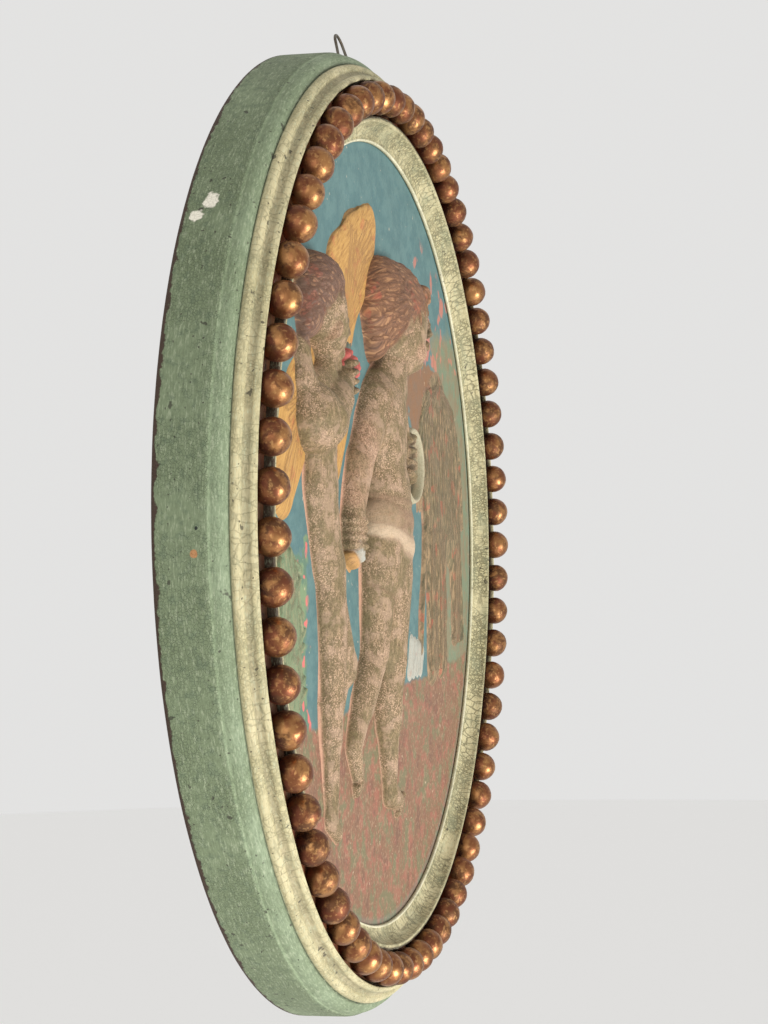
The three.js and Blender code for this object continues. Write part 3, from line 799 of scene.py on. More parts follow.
def left_child():
    """The child on the left: head turned to the right, one arm bent up to hold roses."""
    skin, hair = "skin", "dark hair"
    cap = [
        form((-0.652, 0.566, 0.08, 0.66), (-0.622, 0.568, 0.074, 0.72), hair, 0, 2),
        form((-0.676, 0.535, 0.066, 0.54), (-0.684, 0.49, 0.056, 0.44), hair, 0, 2),
    ]
    face = form((-0.612, 0.515, 0.084, 0.76), (-0.578, 0.468, 0.066, 0.72), skin, 0, 1.5)
    groups = [
        cap,
        [
            face,
            form((-0.56, 0.435, 0.05, 0.56), (-0.53, 0.4, 0.036, 0.42), skin, 0, 2),
            form((-0.524, 0.385, 0.018, 0.4), (-0.517, 0.39, 0.018, 0.41), skin, 0, 1.2),
            form((-0.565, 0.44, 0.026, 0.64), (-0.555, 0.435, 0.026, 0.6), "flush", 0.2, 1.2),
            form((-0.527, 0.47, 0.011, 0.56), (-0.511, 0.446, 0.0115, 0.5), skin, 0.1, 2.2),
            form((-0.512, 0.443, 0.0105, 0.5), (-0.526, 0.443, 0.0105, 0.55), skin, 0.2, 1.8),
            form((-0.522, 0.424, 0.012, 0.46), (-0.54, 0.414, 0.02, 0.54), skin, 0.1, 2.2),
            form((-0.519, 0.422, 0.0075, 0.46), (-0.54, 0.422, 0.0075, 0.55), "flush", 0.2, 1),
            form((-0.52, 0.411, 0.0075, 0.45), (-0.539, 0.411, 0.0075, 0.53), "flush", 0.2, 1),
            form((-0.546, 0.467, 0.012, 0.66), (-0.553, 0.467, 0.012, 0.7), skin, 0.4, 1),
            form((-0.628, 0.47, 0.016, 0.76), (-0.624, 0.45, 0.012, 0.7), "flush", 0.3, 0.6),
        ],
        [
            form((-0.56, 0.4, 0.04, 0.4), (-0.59, 0.31, 0.06, 0.48), skin, 0, 2),
            form((-0.61, 0.3, 0.085, 0.5), (-0.605, 0.12, 0.085, 0.42), skin, 0, 3.5),
            form((-0.605, 0.1, 0.086, 0.42), (-0.57, -0.06, 0.076, 0.44), skin, 0, 4),
            form((-0.55, -0.09, 0.074, 0.46), (-0.54, -0.29, 0.06, 0.42), skin, 0, 3),
            form((-0.545, -0.33, 0.054, 0.42), (-0.545, -0.37, 0.05, 0.37), skin, 0, 3),
            form((-0.55, -0.4, 0.05, 0.36), (-0.548, -0.48, 0.046, 0.32), skin, 0, 3),
            form((-0.545, -0.36, 0.046, 0.34), (-0.548, -0.64, 0.032, 0.22), skin, 0, 2.5),
            form((-0.553, -0.665, 0.033, 0.22), (-0.49, -0.71, 0.024, 0.15), skin, 0, 2),
        ],
        [
            form((-0.53, -0.17, 0.056, 0.42), (-0.462, -0.3, 0.05, 0.43), skin, 0, 3),
            form((-0.455, -0.315, 0.05, 0.45), (-0.452, -0.33, 0.05, 0.42), skin, 0, 2),
            form((-0.47, -0.345, 0.036, 0.32), (-0.5, -0.47, 0.026, 0.16), skin, 0, 2),
        ],
        [
            form((-0.705, 0.415, 0.036, 0.22), (-0.72, 0.34, 0.046, 0.36), skin, 0, 2),
            form((-0.72, 0.33, 0.048, 0.4), (-0.7, 0.27, 0.078, 0.72), skin, 0, 2.5),
            form((-0.685, 0.262, 0.086, 0.78), (-0.66, 0.25, 0.08, 0.84), skin, 0, 2.5),
            form((-0.64, 0.255, 0.074, 0.84), (-0.57, 0.305, 0.058, 0.78), skin, 0, 2.5),
            form((-0.57, 0.305, 0.055, 0.76), (-0.49, 0.36, 0.036, 0.6), skin, 0, 2),
        ],
    ]
    for index in range(4):
        level = 0.395 - index * 0.022
        knuckle, tip = (-0.488, level, 0.0125, 0.68), (-0.45, level + 0.006, 0.011, 0.62)
        groups.append([form(knuckle, tip, skin, 0.3, 0.6)])
    over = [*cap, face]
    brow = bent((-0.534, 0.486), (-0.552, 0.494), (-0.575, 0.486), 6)
    eyelid = bent((-0.537, 0.46), (-0.55, 0.454), (-0.565, 0.461), 6)
    groups.append(strap([face], brow, 0.007, 0.012, skin))
    groups.append(strap([face], eyelid, 0.005, 0.02, "flush"))
    for index in range(12):
        share = index / 11
        turn = math.radians(50 + 152 * share)
        start = (-0.566 - 0.11 * share**0.7, 0.585 - 0.03 * share - 0.06 * share**3)
        end = (-0.65 + 0.086 * math.cos(turn), 0.556 + 0.08 * math.sin(turn) - 0.04 * share**2)
        middle = ((start[0] + end[0]) / 2 + 0.008, (start[1] + end[1]) / 2 + 0.018)
        groups.append(lock(over, bent(start, middle, end, 7), 0.0145, 0.035, hair, 0.004, index * 1.9))
    for index in range(6):
        start = (-0.728 + 0.003 * index, 0.565 - 0.022 * index)
        tip = (start[0] + 0.014, start[1] - 0.04)
        groups.append(lock(cap, bent(start, (start[0] - 0.012, start[1] - 0.02), tip, 4), 0.013, 0.02, hair))
    for index in range(5):
        root = (-0.555 - 0.024 * index, 0.585 - 0.006 * index)
        tip = (root[0] - 0.004, root[1] - 0.03)
        groups.append(lock(over, bent(root, (root[0] + 0.012, root[1] - 0.013), tip, 4), 0.0105, 0.04, hair))
    return groups


def right_child():
    """The child on the right: walking to the right in profile, with a sash and a tambourine."""
    skin, hair = "skin", "red hair"
    cap = [
        form((-0.055, 0.585, 0.128, 0.8), (0.06, 0.6, 0.11, 0.88), hair, 0, 3),
        form((-0.115, 0.54, 0.08, 0.6), (-0.118, 0.485, 0.052, 0.48), hair, 0, 2),
    ]
    face = [
        form((0.085, 0.56, 0.115, 0.93), (0.07, 0.53, 0.115, 0.93), skin, 0, 2.5),
        form((0.005, 0.495, 0.09, 0.76), (0.07, 0.485, 0.085, 0.86), skin, 0, 3),
    ]
    groups = [
        cap,
        [
            *face,
            form((0.06, 0.452, 0.055, 0.76), (0.125, 0.447, 0.034, 0.74), skin, 0, 2),
            form((0.06, 0.478, 0.04, 0.94), (0.075, 0.47, 0.04, 0.94), "flush", 0.4, 1.5),
            form((0.182, 0.562, 0.014, 0.8), (0.203, 0.532, 0.014, 0.8), skin, 0.2, 2.5),
            form((0.202, 0.529, 0.013, 0.8), (0.182, 0.53, 0.013, 0.84), skin, 0.3, 2),
            form((0.178, 0.506, 0.016, 0.76), (0.158, 0.492, 0.026, 0.8), skin, 0.2, 2.5),
            form((0.184, 0.503, 0.0085, 0.78), (0.158, 0.502, 0.009, 0.85), "flush", 0.4, 1.2),
            form((0.181, 0.489, 0.009, 0.78), (0.157, 0.49, 0.0095, 0.84), "flush", 0.4, 1.2),
            form((0.155, 0.55, 0.015, 0.87), (0.143, 0.55, 0.016, 0.905), skin, 0.5, 1.2),
            form((-0.04, 0.545, 0.012, 0.9), (-0.032, 0.517, 0.01, 0.88), "flush", 0.5, 0.5),
            form((-0.046, 0.538, 0.02, 0.84), (-0.036, 0.518, 0.016, 0.84), "flush", 0.4, 0.5),
        ],
        [
            form((0.0, 0.44, 0.076, 0.6), (-0.02, 0.37, 0.09, 0.64), skin, 0, 3),
            form((-0.075, 0.3, 0.125, 0.7), (-0.08, 0.22, 0.12, 0.72), skin, 0, 3.5),
            form((-0.13, 0.33, 0.07, 0.62), (-0.14, 0.28, 0.07, 0.64), skin, 0, 3.5),
            form((-0.07, 0.1, 0.13, 0.76), (-0.075, -0.02, 0.14, 0.8), skin, 0, 4),
            form((-0.14, -0.05, 0.095, 0.74), (-0.135, -0.11, 0.1, 0.72), skin, 0, 3.5),
            form((-0.065, -0.11, 0.125, 0.77), (-0.085, -0.29, 0.085, 0.68), skin, 0, 4),
            form((-0.08, -0.335, 0.07, 0.66), (-0.08, -0.36, 0.068, 0.62), skin, 0, 3),
            form((-0.088, -0.41, 0.064, 0.56), (-0.075, -0.48, 0.056, 0.5), skin, 0, 3),
            form((-0.085, -0.375, 0.058, 0.54), (-0.045, -0.64, 0.033, 0.3), skin, 0, 3),
            form((-0.04, -0.67, 0.036, 0.3), (-0.01, -0.68, 0.034, 0.3), skin, 0, 2),
            form((-0.02, -0.675, 0.034, 0.28), (0.065, -0.705, 0.026, 0.2), skin, 0, 2),
        ],
        [
            form((-0.14, -0.1, 0.09, 0.62), (-0.185, -0.28, 0.066, 0.5), skin, 0, 3.5),
            form((-0.195, -0.305, 0.062, 0.5), (-0.205, -0.325, 0.06, 0.46), skin, 0, 3),
            form((-0.24, -0.365, 0.058, 0.42), (-0.29, -0.425, 0.05, 0.38), skin, 0, 3),
            form((-0.215, -0.335, 0.052, 0.42), (-0.35, -0.5, 0.04, 0.3), skin, 0, 3),
            form((-0.365, -0.52, 0.036, 0.28), (-0.315, -0.605, 0.028, 0.2), skin, 0, 2),
        ],
        [
            form((-0.15, 0.325, 0.066, 0.6), (-0.21, 0.25, 0.064, 0.5), skin, 0, 3),
            form((-0.21, 0.25, 0.064, 0.5), (-0.295, 0.165, 0.055, 0.46), "flush", 0, 2.5),
            form((-0.3, 0.155, 0.058, 0.47), (-0.345, 0.06, 0.046, 0.42), "flush", 0, 2.5),
            form((-0.355, 0.035, 0.046, 0.44), (-0.355, 0.0, 0.046, 0.42), skin, 0, 1.6),
        ],
        [
            form((0.0, 0.31, 0.045, 0.6), (0.03, 0.235, 0.038, 0.6), skin, 0, 2),
            form((0.015, 0.21, 0.045, 0.6), (0.035, 0.2, 0.04, 0.6), skin, 0, 1.5),
        ],
        [
            form((0.115, 0.175, 0.088, 0.42), (0.115, 0.172, 0.088, 0.42), "drum", 0, 0.6),
            form((0.115, 0.175, 0.013, 0.54), (0.115, 0.175, 0.013, 0.54), "rim", 0, 0.5, hoop=0.094),
        ],
        [form((-0.375, -0.03, 0.02, 0.38), (-0.315, -0.05, 0.026, 0.32), "white cloth", 0.1, 0.8)],
        [form((-0.385, -0.06, 0.016, 0.3), (-0.33, -0.075, 0.017, 0.24), "gold cloth", 0.1, 0.8)],
        [form((-0.37, -0.045, 0.01, 0.42), (-0.325, -0.066, 0.012, 0.36), "white cloth", 0.1, 0.5)],
    ]
    brow = bent((0.178, 0.577), (0.15, 0.588), (0.118, 0.576), 7)
    eyelid = bent((0.172, 0.545), (0.152, 0.536), (0.128, 0.544), 7)
    groups.append(strap(face, brow, 0.008, 0.014, skin))
    groups.append(strap(face, eyelid, 0.006, 0.022, "flush"))
    body = groups[2]
    folds = (
        ((-0.206, 0.052), (-0.08, 0.012), (0.052, 0.026), 0.058, 0.006, "sash"),
        ((-0.205, 0.095), (-0.08, 0.062), (0.05, 0.074), 0.013, 0.016, "sash"),
        ((-0.208, 0.06), (-0.08, 0.016), (0.054, 0.036), 0.017, 0.02, "sash"),
        # Painted highlight: the lowest fold is painted paler.
        ((-0.212, 0.012), (-0.08, -0.05), (0.06, -0.04), 0.048, 0.026, "pale sash"),
    )
    for start, middle, end, width, lift, coat in folds:
        groups.append(strap(body, bent(start, middle, end, 17), width, lift, coat))
    for index in range(4):
        level = 0.243 - index * 0.031
        spread = 1.5 - index
        near, far = (0.02, level - 0.004 * spread, 0.015, 0.7), (0.062, level + 0.003 * spread, 0.0135, 0.69)
        tip = (0.105 - 0.006 * spread**2, level - 0.012 + 0.003 * spread, 0.011, 0.6)
        groups.append([form(near, far, skin, 0.3, 0.6), form(far, tip, skin, 0.3, 0.6)])
        level = 0.03 - index * 0.02
        near, far = (-0.395, level, 0.012, 0.36), (-0.345, level - 0.006, 0.013, 0.5)
        groups.append([form(near, far, skin, 0.2, 0.5)])
    for index in range(5):
        x, z = 0.08 - index * 0.008, -0.69 - index * 0.011
        tall = 0.23 - index * 0.012
        groups.append([form((x, z, 0.0105, tall), (x + 0.022, z - 0.005, 0.0095, tall - 0.06), skin, 0, 0.5)])
        x, z = -0.312 - index * 0.008, -0.607 - index * 0.003
        groups.append([form((x, z, 0.0095, 0.21), (x + 0.008, z - 0.02, 0.0085, 0.16), skin, 0, 0.5)])
    over = [*cap, *face]
    for index in range(14):
        share = index / 13
        turn = math.radians(66 + 160 * share)
        start = (0.19 - 0.24 * share, 0.652 - 0.118 * share)
        end = (-0.045 + 0.135 * math.cos(turn), 0.585 + 0.118 * math.sin(turn) - 0.045 * share**2)
        middle = ((start[0] + end[0]) / 2 - 0.01, (start[1] + end[1]) / 2 + 0.035 - 0.03 * share)
        groups.append(lock(over, bent(start, middle, end, 8), 0.018, 0.03, hair, 0.006, index * 1.7))
    for index in range(9):
        share = index / 8
        start = (0.15 - 0.2 * share, 0.64 - 0.095 * share)
        end = (-0.1 + 0.03 * math.sin(8 * share), 0.69 - 0.2 * share)
        middle = ((start[0] + end[0]) / 2, (start[1] + end[1]) / 2 + 0.03)
        groups.append(lock(over, bent(start, middle, end, 6), 0.0115, 0.055, hair, 0.007, index * 2.3))
    for index in range(9):
        root = (0.17 - 0.03 * index, 0.65 - 0.013 * index)
        curl = 0.042 * (1 - index / 12)
        middle = (root[0] + curl, root[1] + 0.004)
        tip = (root[0] + curl * 0.8, root[1] - 0.034 - 0.01 * math.sin(3 * index))
        groups.append(lock(over, bent(root, middle, tip, 6), 0.014, 0.045, hair, lowest=0.74))
    return groups


def feathers(under, root, angles, spans, bow):
    """Low feathers fanned out from a root, kept only where they lie on the wing."""
    groups = []
    for angle in np.radians(angles).tolist():
        for start, end in spans:
            near = (root[0] + start * math.cos(angle), root[1] + start * math.sin(angle))
            far = (root[0] + end * math.cos(angle + bow), root[1] + end * math.sin(angle + bow))
            tops = [height_over(under, *point) for point in (near, far)]
            if min(tops) > 0.06:
                quill, tip = (*near, 0.013, tops[0] + 0.012), (*far, 0.011, tops[1] + 0.02)
                groups.append([form(quill, tip, "wing", 0, 0.6)])
    return groups


def wings():
    """Two wings seen behind the left child: smooth leaf shapes with low feathers on them."""
    high = [
        form((-0.36, 0.5, 0.08, 0.09), (-0.35, 0.6, 0.125, 0.1), "wing", 0, 4),
        form((-0.36, 0.6, 0.13, 0.1), (-0.23, 0.68, 0.11, 0.1), "wing", 0, 4),
        form((-0.25, 0.68, 0.11, 0.1), (-0.13, 0.755, 0.075, 0.09), "wing", 0, 4),
        form((-0.15, 0.75, 0.075, 0.09), (-0.095, 0.795, 0.04, 0.07), "wing", 0, 4),
    ]
    low = [
        form((-0.66, 0.37, 0.07, 0.09), (-0.74, 0.31, 0.07, 0.09), "wing", 0, 2),
        form((-0.76, 0.24, 0.11, 0.09), (-0.84, 0.11, 0.075, 0.08), "wing", 0, 2),
        form((-0.36, 0.285, 0.045, 0.08), (-0.46, 0.17, 0.06, 0.08), "wing", 0, 2),
    ]
    spans = ((0.02, 0.16), (0.14, 0.28), (0.25, 0.37))
    over_high = feathers(high, (-0.37, 0.47), [98 - 6.5 * step for step in range(13)], spans, -0.16)
    spans = ((0.03, 0.17), (0.14, 0.3))
    over_low = feathers(low, (-0.66, 0.33), [150 + 9 * step for step in range(12)], spans, 0.08)
    return [high, low, *over_high, *over_low]


def roses():
    """Roses in the left child's hand, each of a few petals round a bud, with leaves above."""
    groups = []
    for index in range(4):
        x, z = -0.475 + index * 0.043, 0.385 + 0.02 * math.cos(index * 2.4)
        top = 0.54 - index * 0.07
        groups.append([form((x, z, 0.014, top + 0.06), (x + 0.002, z, 0.014, top + 0.06), "rose", 0.1, 0.4)])
        for petal in range(5):
            angle = petal * 1.257 + index
            px, pz = x + 0.018 * math.cos(angle), z + 0.018 * math.sin(angle)
            groups.append([form((px, pz, 0.015, top), (px, pz + 0.002, 0.014, top), "rose", 0.1, 0.35)])
        leaf = (x + 0.01, z + 0.045, 0.02, top - 0.2)
        groups.append([form(leaf, (x + 0.04, z + 0.07, 0.009, top - 0.26), "leaf", 0, 0.5)])
        leaf = (x - 0.01, z - 0.03, 0.014, top - 0.14)
        groups.append([form(leaf, (x + 0.02, z - 0.06, 0.008, top - 0.2), "leaf", 0, 0.5)])
    return groups


def setting():
    """The tree with its hanging crown and stems, the staff, a white cloth and a low bush at the left."""
    groups = [
        [
            form((0.48, 0.33, 0.07, 0.07), (0.5, 0.05, 0.09, 0.14), "foliage", 0, 3),
            form((0.6, 0.36, 0.1, 0.06), (0.6, 0.02, 0.12, 0.14), "foliage", 0, 3),
            form((0.73, 0.28, 0.1, 0.06), (0.74, 0.0, 0.11, 0.14), "foliage", 0, 3),
            form((0.47, -0.02, 0.04, 0.14), (0.49, -0.38, 0.05, 0.12), "bark", 0, 3),
            form((0.58, -0.04, 0.06, 0.14), (0.59, -0.37, 0.05, 0.12), "bark", 0, 3),
            form((0.77, -0.06, 0.055, 0.13), (0.775, -0.3, 0.036, 0.11), "bark", 0, 3),
        ],
        [form((0.43, 0.04, 0.011, 0.12), (0.345, -0.33, 0.01, 0.1), "bark", 0, 0.5)],
        [form((-0.83, -0.1, 0.07, 0.1), (-0.81, -0.34, 0.08, 0.1), "bush", 0, 2)],
    ]
    for index in range(16):
        x = 0.425 + 0.026 * index
        top = 0.37 - 0.06 * abs(index - 6) / 6 + 0.03 * math.sin(5 * index)
        foot = 0.02 - 0.34 * (math.sin(2.4 * index) ** 2 if index < 8 or index > 12 else 0.1)
        groups.append([form((x, top, 0.012, 0.1), (x + 0.012, foot, 0.014, 0.155), "foliage", 0, 1.4)])
    for index in range(34):
        x, z = -0.825 + 0.075 * math.sin(2.2 * index), -0.07 - 0.31 * index / 33
        turn = 1.2 * math.sin(1.7 * index) + 1.57
        near = (x - 0.02 * math.cos(turn), z - 0.02 * math.sin(turn), 0.016, 0.09)
        far = (x + 0.03 * math.cos(turn), z + 0.03 * math.sin(turn), 0.007, 0.13)
        groups.append([form(near, far, "bush", 0, 0.7)])
    mass = groups[0]
    for index in range(17):
        out = (index - 8) / 8
        top = (0.6 + 0.05 * out, 0.42 - 0.02 * abs(out))
        foot = (0.62 + 0.27 * out, 0.06 - 0.12 * math.sin(3.1 * index) ** 2)
        path = bent(top, (0.61 + 0.27 * out, 0.38), foot, 7)
        groups.append(lock(mass, path, 0.015, 0.03, "foliage", 0.006, index, 0.7, 0.04))
    for index in range(7):
        x = 0.46 + 0.024 * index
        foot = (x - 0.004 + 0.003 * index, -0.385, 0.009, 0.13)
        groups.append([form((x, 0.0, 0.01, 0.16), foot, "bark", 0, 1.0)])
    for index in range(3):
        x = 0.752 + 0.022 * index
        groups.append([form((x, -0.04, 0.01, 0.15), (x, -0.32, 0.009, 0.12), "bark", 0, 1.0)])
    for index in range(4):
        x = 0.235 + 0.036 * index
        top = (x + 0.02, -0.3 - 0.01 * index, 0.022, 0.07)
        groups.append([form(top, (x, -0.38, 0.02, 0.06), "white cloth", 0, 1.6)])
    return groups


# Carving, in millimetres

FAR_OFF = 9.0  # the field's value away from every form
GRID_FLOOR = -2.2  # where the grid starts, under the ground
ROOT = 1.3  # how deep the forms are rooted in the panel
COAT_EDGE = 0.3  # how softly one coat of paint meets the next


def along_form(item, x, z, cast):
    """How far along a form each point lies, from 0 to 1, and its distance from the form's line."""
    ax, az = item.start[0] * cast.radius, item.start[1] * cast.radius
    dx = item.end[0] * cast.radius - ax
    dz = item.end[1] * cast.radius - az
    whole = max(dx * dx + dz * dz, 1e-6)
    share = np.clip(((x - ax) * dx + (z - az) * dz) / whole, 0, 1)
    away = np.hypot(x - ax - share * dx, z - az - share * dz)
    return share, away


def reach(item, x, z, h, cast):
    """Rough distance in millimetres from a form's surface, negative inside it."""
    share, away = along_form(item, x, z, cast)
    if item.hoop:
        away = np.abs(away - item.hoop * cast.radius)
    width = (item.start[2] + share * (item.end[2] - item.start[2])) * cast.radius
    tall = (item.start[3] + share * (item.end[3] - item.start[3]) - item.base) * cast.depth
    up = np.maximum(h - item.base * cast.depth, 0)
    near = np.sqrt((away / width) ** 2 + (up / tall) ** 2)
    slope = np.sqrt((away / width**2) ** 2 + (up / tall**2) ** 2)
    return np.where(slope > 1e-6, near * (near - 1) / np.maximum(slope, 1e-6), -np.minimum(width, tall))


def blended(first, second, soft):
    """The nearer of two distances, with a soft fillet where they meet."""
    share = np.clip(0.5 + 0.5 * (second - first) / soft, 0, 1)
    return second + (first - second) * share - soft * share * (1 - share)


def group_reach(group, x, z, h, cast):
    """Rough distance from a group of forms that flow into each other."""
    joined = None
    for item in group:
        away = reach(item, x, z, h, cast)
        joined = away if joined is None else blended(joined, away, item.blend * 0.7)
    return joined


def distances(groups, cast, cell):
    """The groups' joined field on a grid, the same cut off under the ground, and its corner."""
    rounds = np.array([(*r[:3], item.hoop) for group in groups for item in group for r in item[:2]])
    spread = (rounds[:, 2:3] + rounds[:, 3:4]) * cast.radius + 5
    low = (rounds[:, :2] * cast.radius - spread).min(0)
    high = (rounds[:, :2] * cast.radius + spread).max(0)
    top = max(r[3] for group in groups for item in group for r in item[:2]) * cast.depth + 3 * cell
    xs = np.arange(low[0], high[0], cell)
    zs = np.arange(low[1], high[1], cell)
    hs = np.arange(GRID_FLOOR, top + cell, cell)
    field = np.full((len(xs), len(zs), len(hs)), FAR_OFF, np.float32)
    for group in groups:
        ends = np.array([r[:2] for item in group for r in item[:2]]) * cast.radius
        margin = max(r[2] + item.hoop for item in group for r in item[:2]) * cast.radius + 6
        ix = slice(*np.searchsorted(xs, (ends[:, 0].min() - margin, ends[:, 0].max() + margin)))
        iz = slice(*np.searchsorted(zs, (ends[:, 1].min() - margin, ends[:, 1].max() + margin)))
        away = group_reach(group, xs[ix][:, None, None], zs[iz][None, :, None], hs[None, None, :], cast)
        field[ix, iz] = blended(field[ix, iz], away, 0.7)
    ground = hs[None, None, :] + 0.25
    whole = blended(field, ground, 1.6)
    shape = np.maximum(whole, field - 2.0)
    shape = np.maximum(shape, -(hs[None, None, :] + ROOT))
    shape[[0, -1]] = FAR_OFF
    shape[:, [0, -1]] = FAR_OFF
    return whole, shape, np.array([low[0], low[1], hs[0]])


def sampled(field, corner, cell, points):
    """A grid's values between its points."""
    place = np.clip((points - corner) / cell, 0, np.array(field.shape) - 1.001)
    base = place.astype(int)
    part = place - base
    total = 0.0
    for i in (0, 1):
        for j in (0, 1):
            for k in (0, 1):
                weight = np.prod(np.where((i, j, k), part, 1 - part), axis=1)
                total = total + weight * field[tuple((base + (i, j, k)).T)]
    return total


def hollows(field, corner, cell, points):
    """How closed in each point of a surface is, from 0 on an open form to 1 deep in a crease."""
    steps = np.eye(3) * cell
    ahead = [sampled(field, corner, cell, points + step) for step in steps]
    behind = [sampled(field, corner, cell, points - step) for step in steps]
    slope = np.stack(ahead, 1) - np.stack(behind, 1)
    slope /= np.maximum(np.linalg.norm(slope, axis=1, keepdims=True), 1e-6)
    closed = np.zeros(len(points))
    for far in (1.2, 2.4, 4.0):
        closed += np.clip(1 - sampled(field, corner, cell, points + slope * far) / far, 0, 1) / 3
    return closed


def skin(field, corner, cell):
    """Points and four-sided faces of the surface where a distance field passes nought."""
    shape = np.array(field.shape)
    inside = field < 0
    cells = np.zeros(shape - 1, np.int8)
    for dx in (0, 1):
        for dy in (0, 1):
            for dz in (0, 1):
                cells += inside[dx : shape[0] - 1 + dx, dy : shape[1] - 1 + dy, dz : shape[2] - 1 + dz]
    active = np.argwhere((cells > 0) & (cells < 8))
    number = np.full(shape - 1, -1, np.int64)
    number[tuple(active.T)] = np.arange(len(active))
    total = np.zeros((len(active), 3))
    count = np.zeros(len(active))
    corners = np.array([(i, j, k) for i in (0, 1) for j in (0, 1) for k in (0, 1)])
    for a in corners:
        for axis in range(3):
            if a[axis]:
                continue
            b = a.copy()
            b[axis] = 1
            first = field[tuple((active + a).T)]
            second = field[tuple((active + b).T)]
            crosses = (first < 0) != (second < 0)
            gap = np.where(crosses, first - second, 1.0)
            share = np.where(crosses, first / gap, 0.0)
            total += np.where(crosses[:, None], a + (b - a) * share[:, None], 0.0)
            count += crosses
    points = corner + (active + total / count[:, None]) * cell
    faces = []
    for axis in range(3):
        one, two = [(1, 2), (2, 0), (0, 1)][axis]
        low = [slice(None)] * 3
        high = [slice(None)] * 3
        low[axis], high[axis] = slice(None, -1), slice(1, None)
        first, second = inside[tuple(low)], inside[tuple(high)]
        edges = np.argwhere(first != second)
        edges = edges[(edges[:, one] > 0) & (edges[:, two] > 0)]
        edges = edges[(edges[:, one] < shape[one] - 1) & (edges[:, two] < shape[two] - 1)]
        steps = []
        for da, db in ((0, 0), (-1, 0), (-1, -1), (0, -1)):
            near = edges.copy()
            near[:, one] += da
            near[:, two] += db
            steps.append(number[tuple(near.T)])
        quads = np.stack(steps, 1)
        outward = first[tuple(edges.T)]
        quads[~outward] = quads[~outward][:, ::-1]
        faces.append(quads)
    return points, np.concatenate(faces)


def coats_of(groups, points, cast):
    """Coat, finish and grain at each point, from the forms that it lies nearest to."""
    x, z, h = points.T
    forms = [item for group in groups for item in group]
    away = np.stack([reach(f, x, z, h, cast).astype(np.float32) for f in forms])
    nearest = away.argmin(0)
    weights = np.exp(-(away - away.min(0)) / COAT_EDGE)
    weights /= weights.sum(0)
    coats = [COATS[f.coat] for f in forms]
    shade = weights.T @ np.array([c.shade for c in coats])
    finish = weights.T @ np.array([(c.stipple, c.streak, c.crease) for c in coats])
    near_groups, start = [], 0
    for group in groups:
        near_groups.append(away[start : start + len(group)].min(0))
        start += len(group)
    near_groups.append(np.full(len(x), FAR_OFF))
    # joint carries the painted shade line where two groups of forms meet.
    pair = np.sort(np.partition(np.stack(near_groups), 1, axis=0)[:2], axis=0)
    joint = np.exp(-np.clip(pair[1] - pair[0], 0, FAR_OFF) / COAT_EDGE)
    hem = np.clip(1 - (h - 0.1) / 0.8, 0, 1)
    finish[:, 2] = np.clip(finish[:, 2] * joint * (1 - hem) - hem * finish[:, 0], -1, 1)
    grain = np.zeros((len(points), 3))
    for index, item in enumerate(forms):
        mine = nearest == index
        run = np.array(item.end[:2]) - item.start[:2]
        run /= max(math.hypot(*run), 1e-6)
        along = x[mine] * run[0] + z[mine] * run[1]
        across = x[mine] * run[1] - z[mine] * run[0]
        rise = h[mine] * 0.5
        apart = np.full(mine.sum(), index * 7.3e3)
        grain[mine] = np.stack([along + rise, across + rise, apart], 1)
    grain /= 1000
    return shade, finish, grain


Cast = namedtuple("Cast", "radius depth face")


def cast_of(settings):
    """The relief's sizes in millimetres."""
    return Cast(settings.visible_radius * 1000, settings.depth * 1000, settings.face_height * 1000)


def carved_piece(name, groups, settings, material):
    """Carves forms into one closed mesh that is rooted in the panel's ground."""
    cast = cast_of(settings)
    cell = settings.cell * 1000
    whole, shape, corner = distances(groups, cast, cell)
    points, faces = skin(shape, corner, cell)
    if not len(faces):
        raise RuntimeError(f"{name} came out empty")
    shade, finish, grain = coats_of(groups, points, cast)
    placed = np.stack([points[:, 0], -(cast.face + points[:, 2]), points[:, 1]], 1) / 1000
    piece = new_piece(name, placed, faces)
    give(piece, "coat", "FLOAT_COLOR", np.c_[shade, np.ones(len(shade))])
    give(piece, "finish", "FLOAT_VECTOR", finish)
    give(piece, "grain", "FLOAT_VECTOR", grain)
    give(piece, "hollow", "FLOAT", hollows(whole, corner, cell, points))
    piece.data.materials.append(material)
    piece.data.polygons.foreach_set("use_smooth", np.ones(len(piece.data.polygons), bool))
    settle(piece, "relief_panel")
    return piece


def disc_grid(radius, steps):
    """Points of a square grid pressed into a disc, which keeps its cells nearly even."""
    line = np.linspace(-1, 1, steps + 1)
    a, b = np.meshgrid(line, line, indexing="ij")
    wide = np.abs(a) > np.abs(b)
    ring = np.where(wide, a, b)
    ratio = np.where(wide, b / np.where(a == 0, 1, a), a / np.where(b == 0, 1, b))
    angle = np.where(wide, ratio * math.pi / 4, math.pi / 2 - ratio * math.pi / 4)
    return radius * ring * np.cos(angle), radius * ring * np.sin(angle)


# Operators


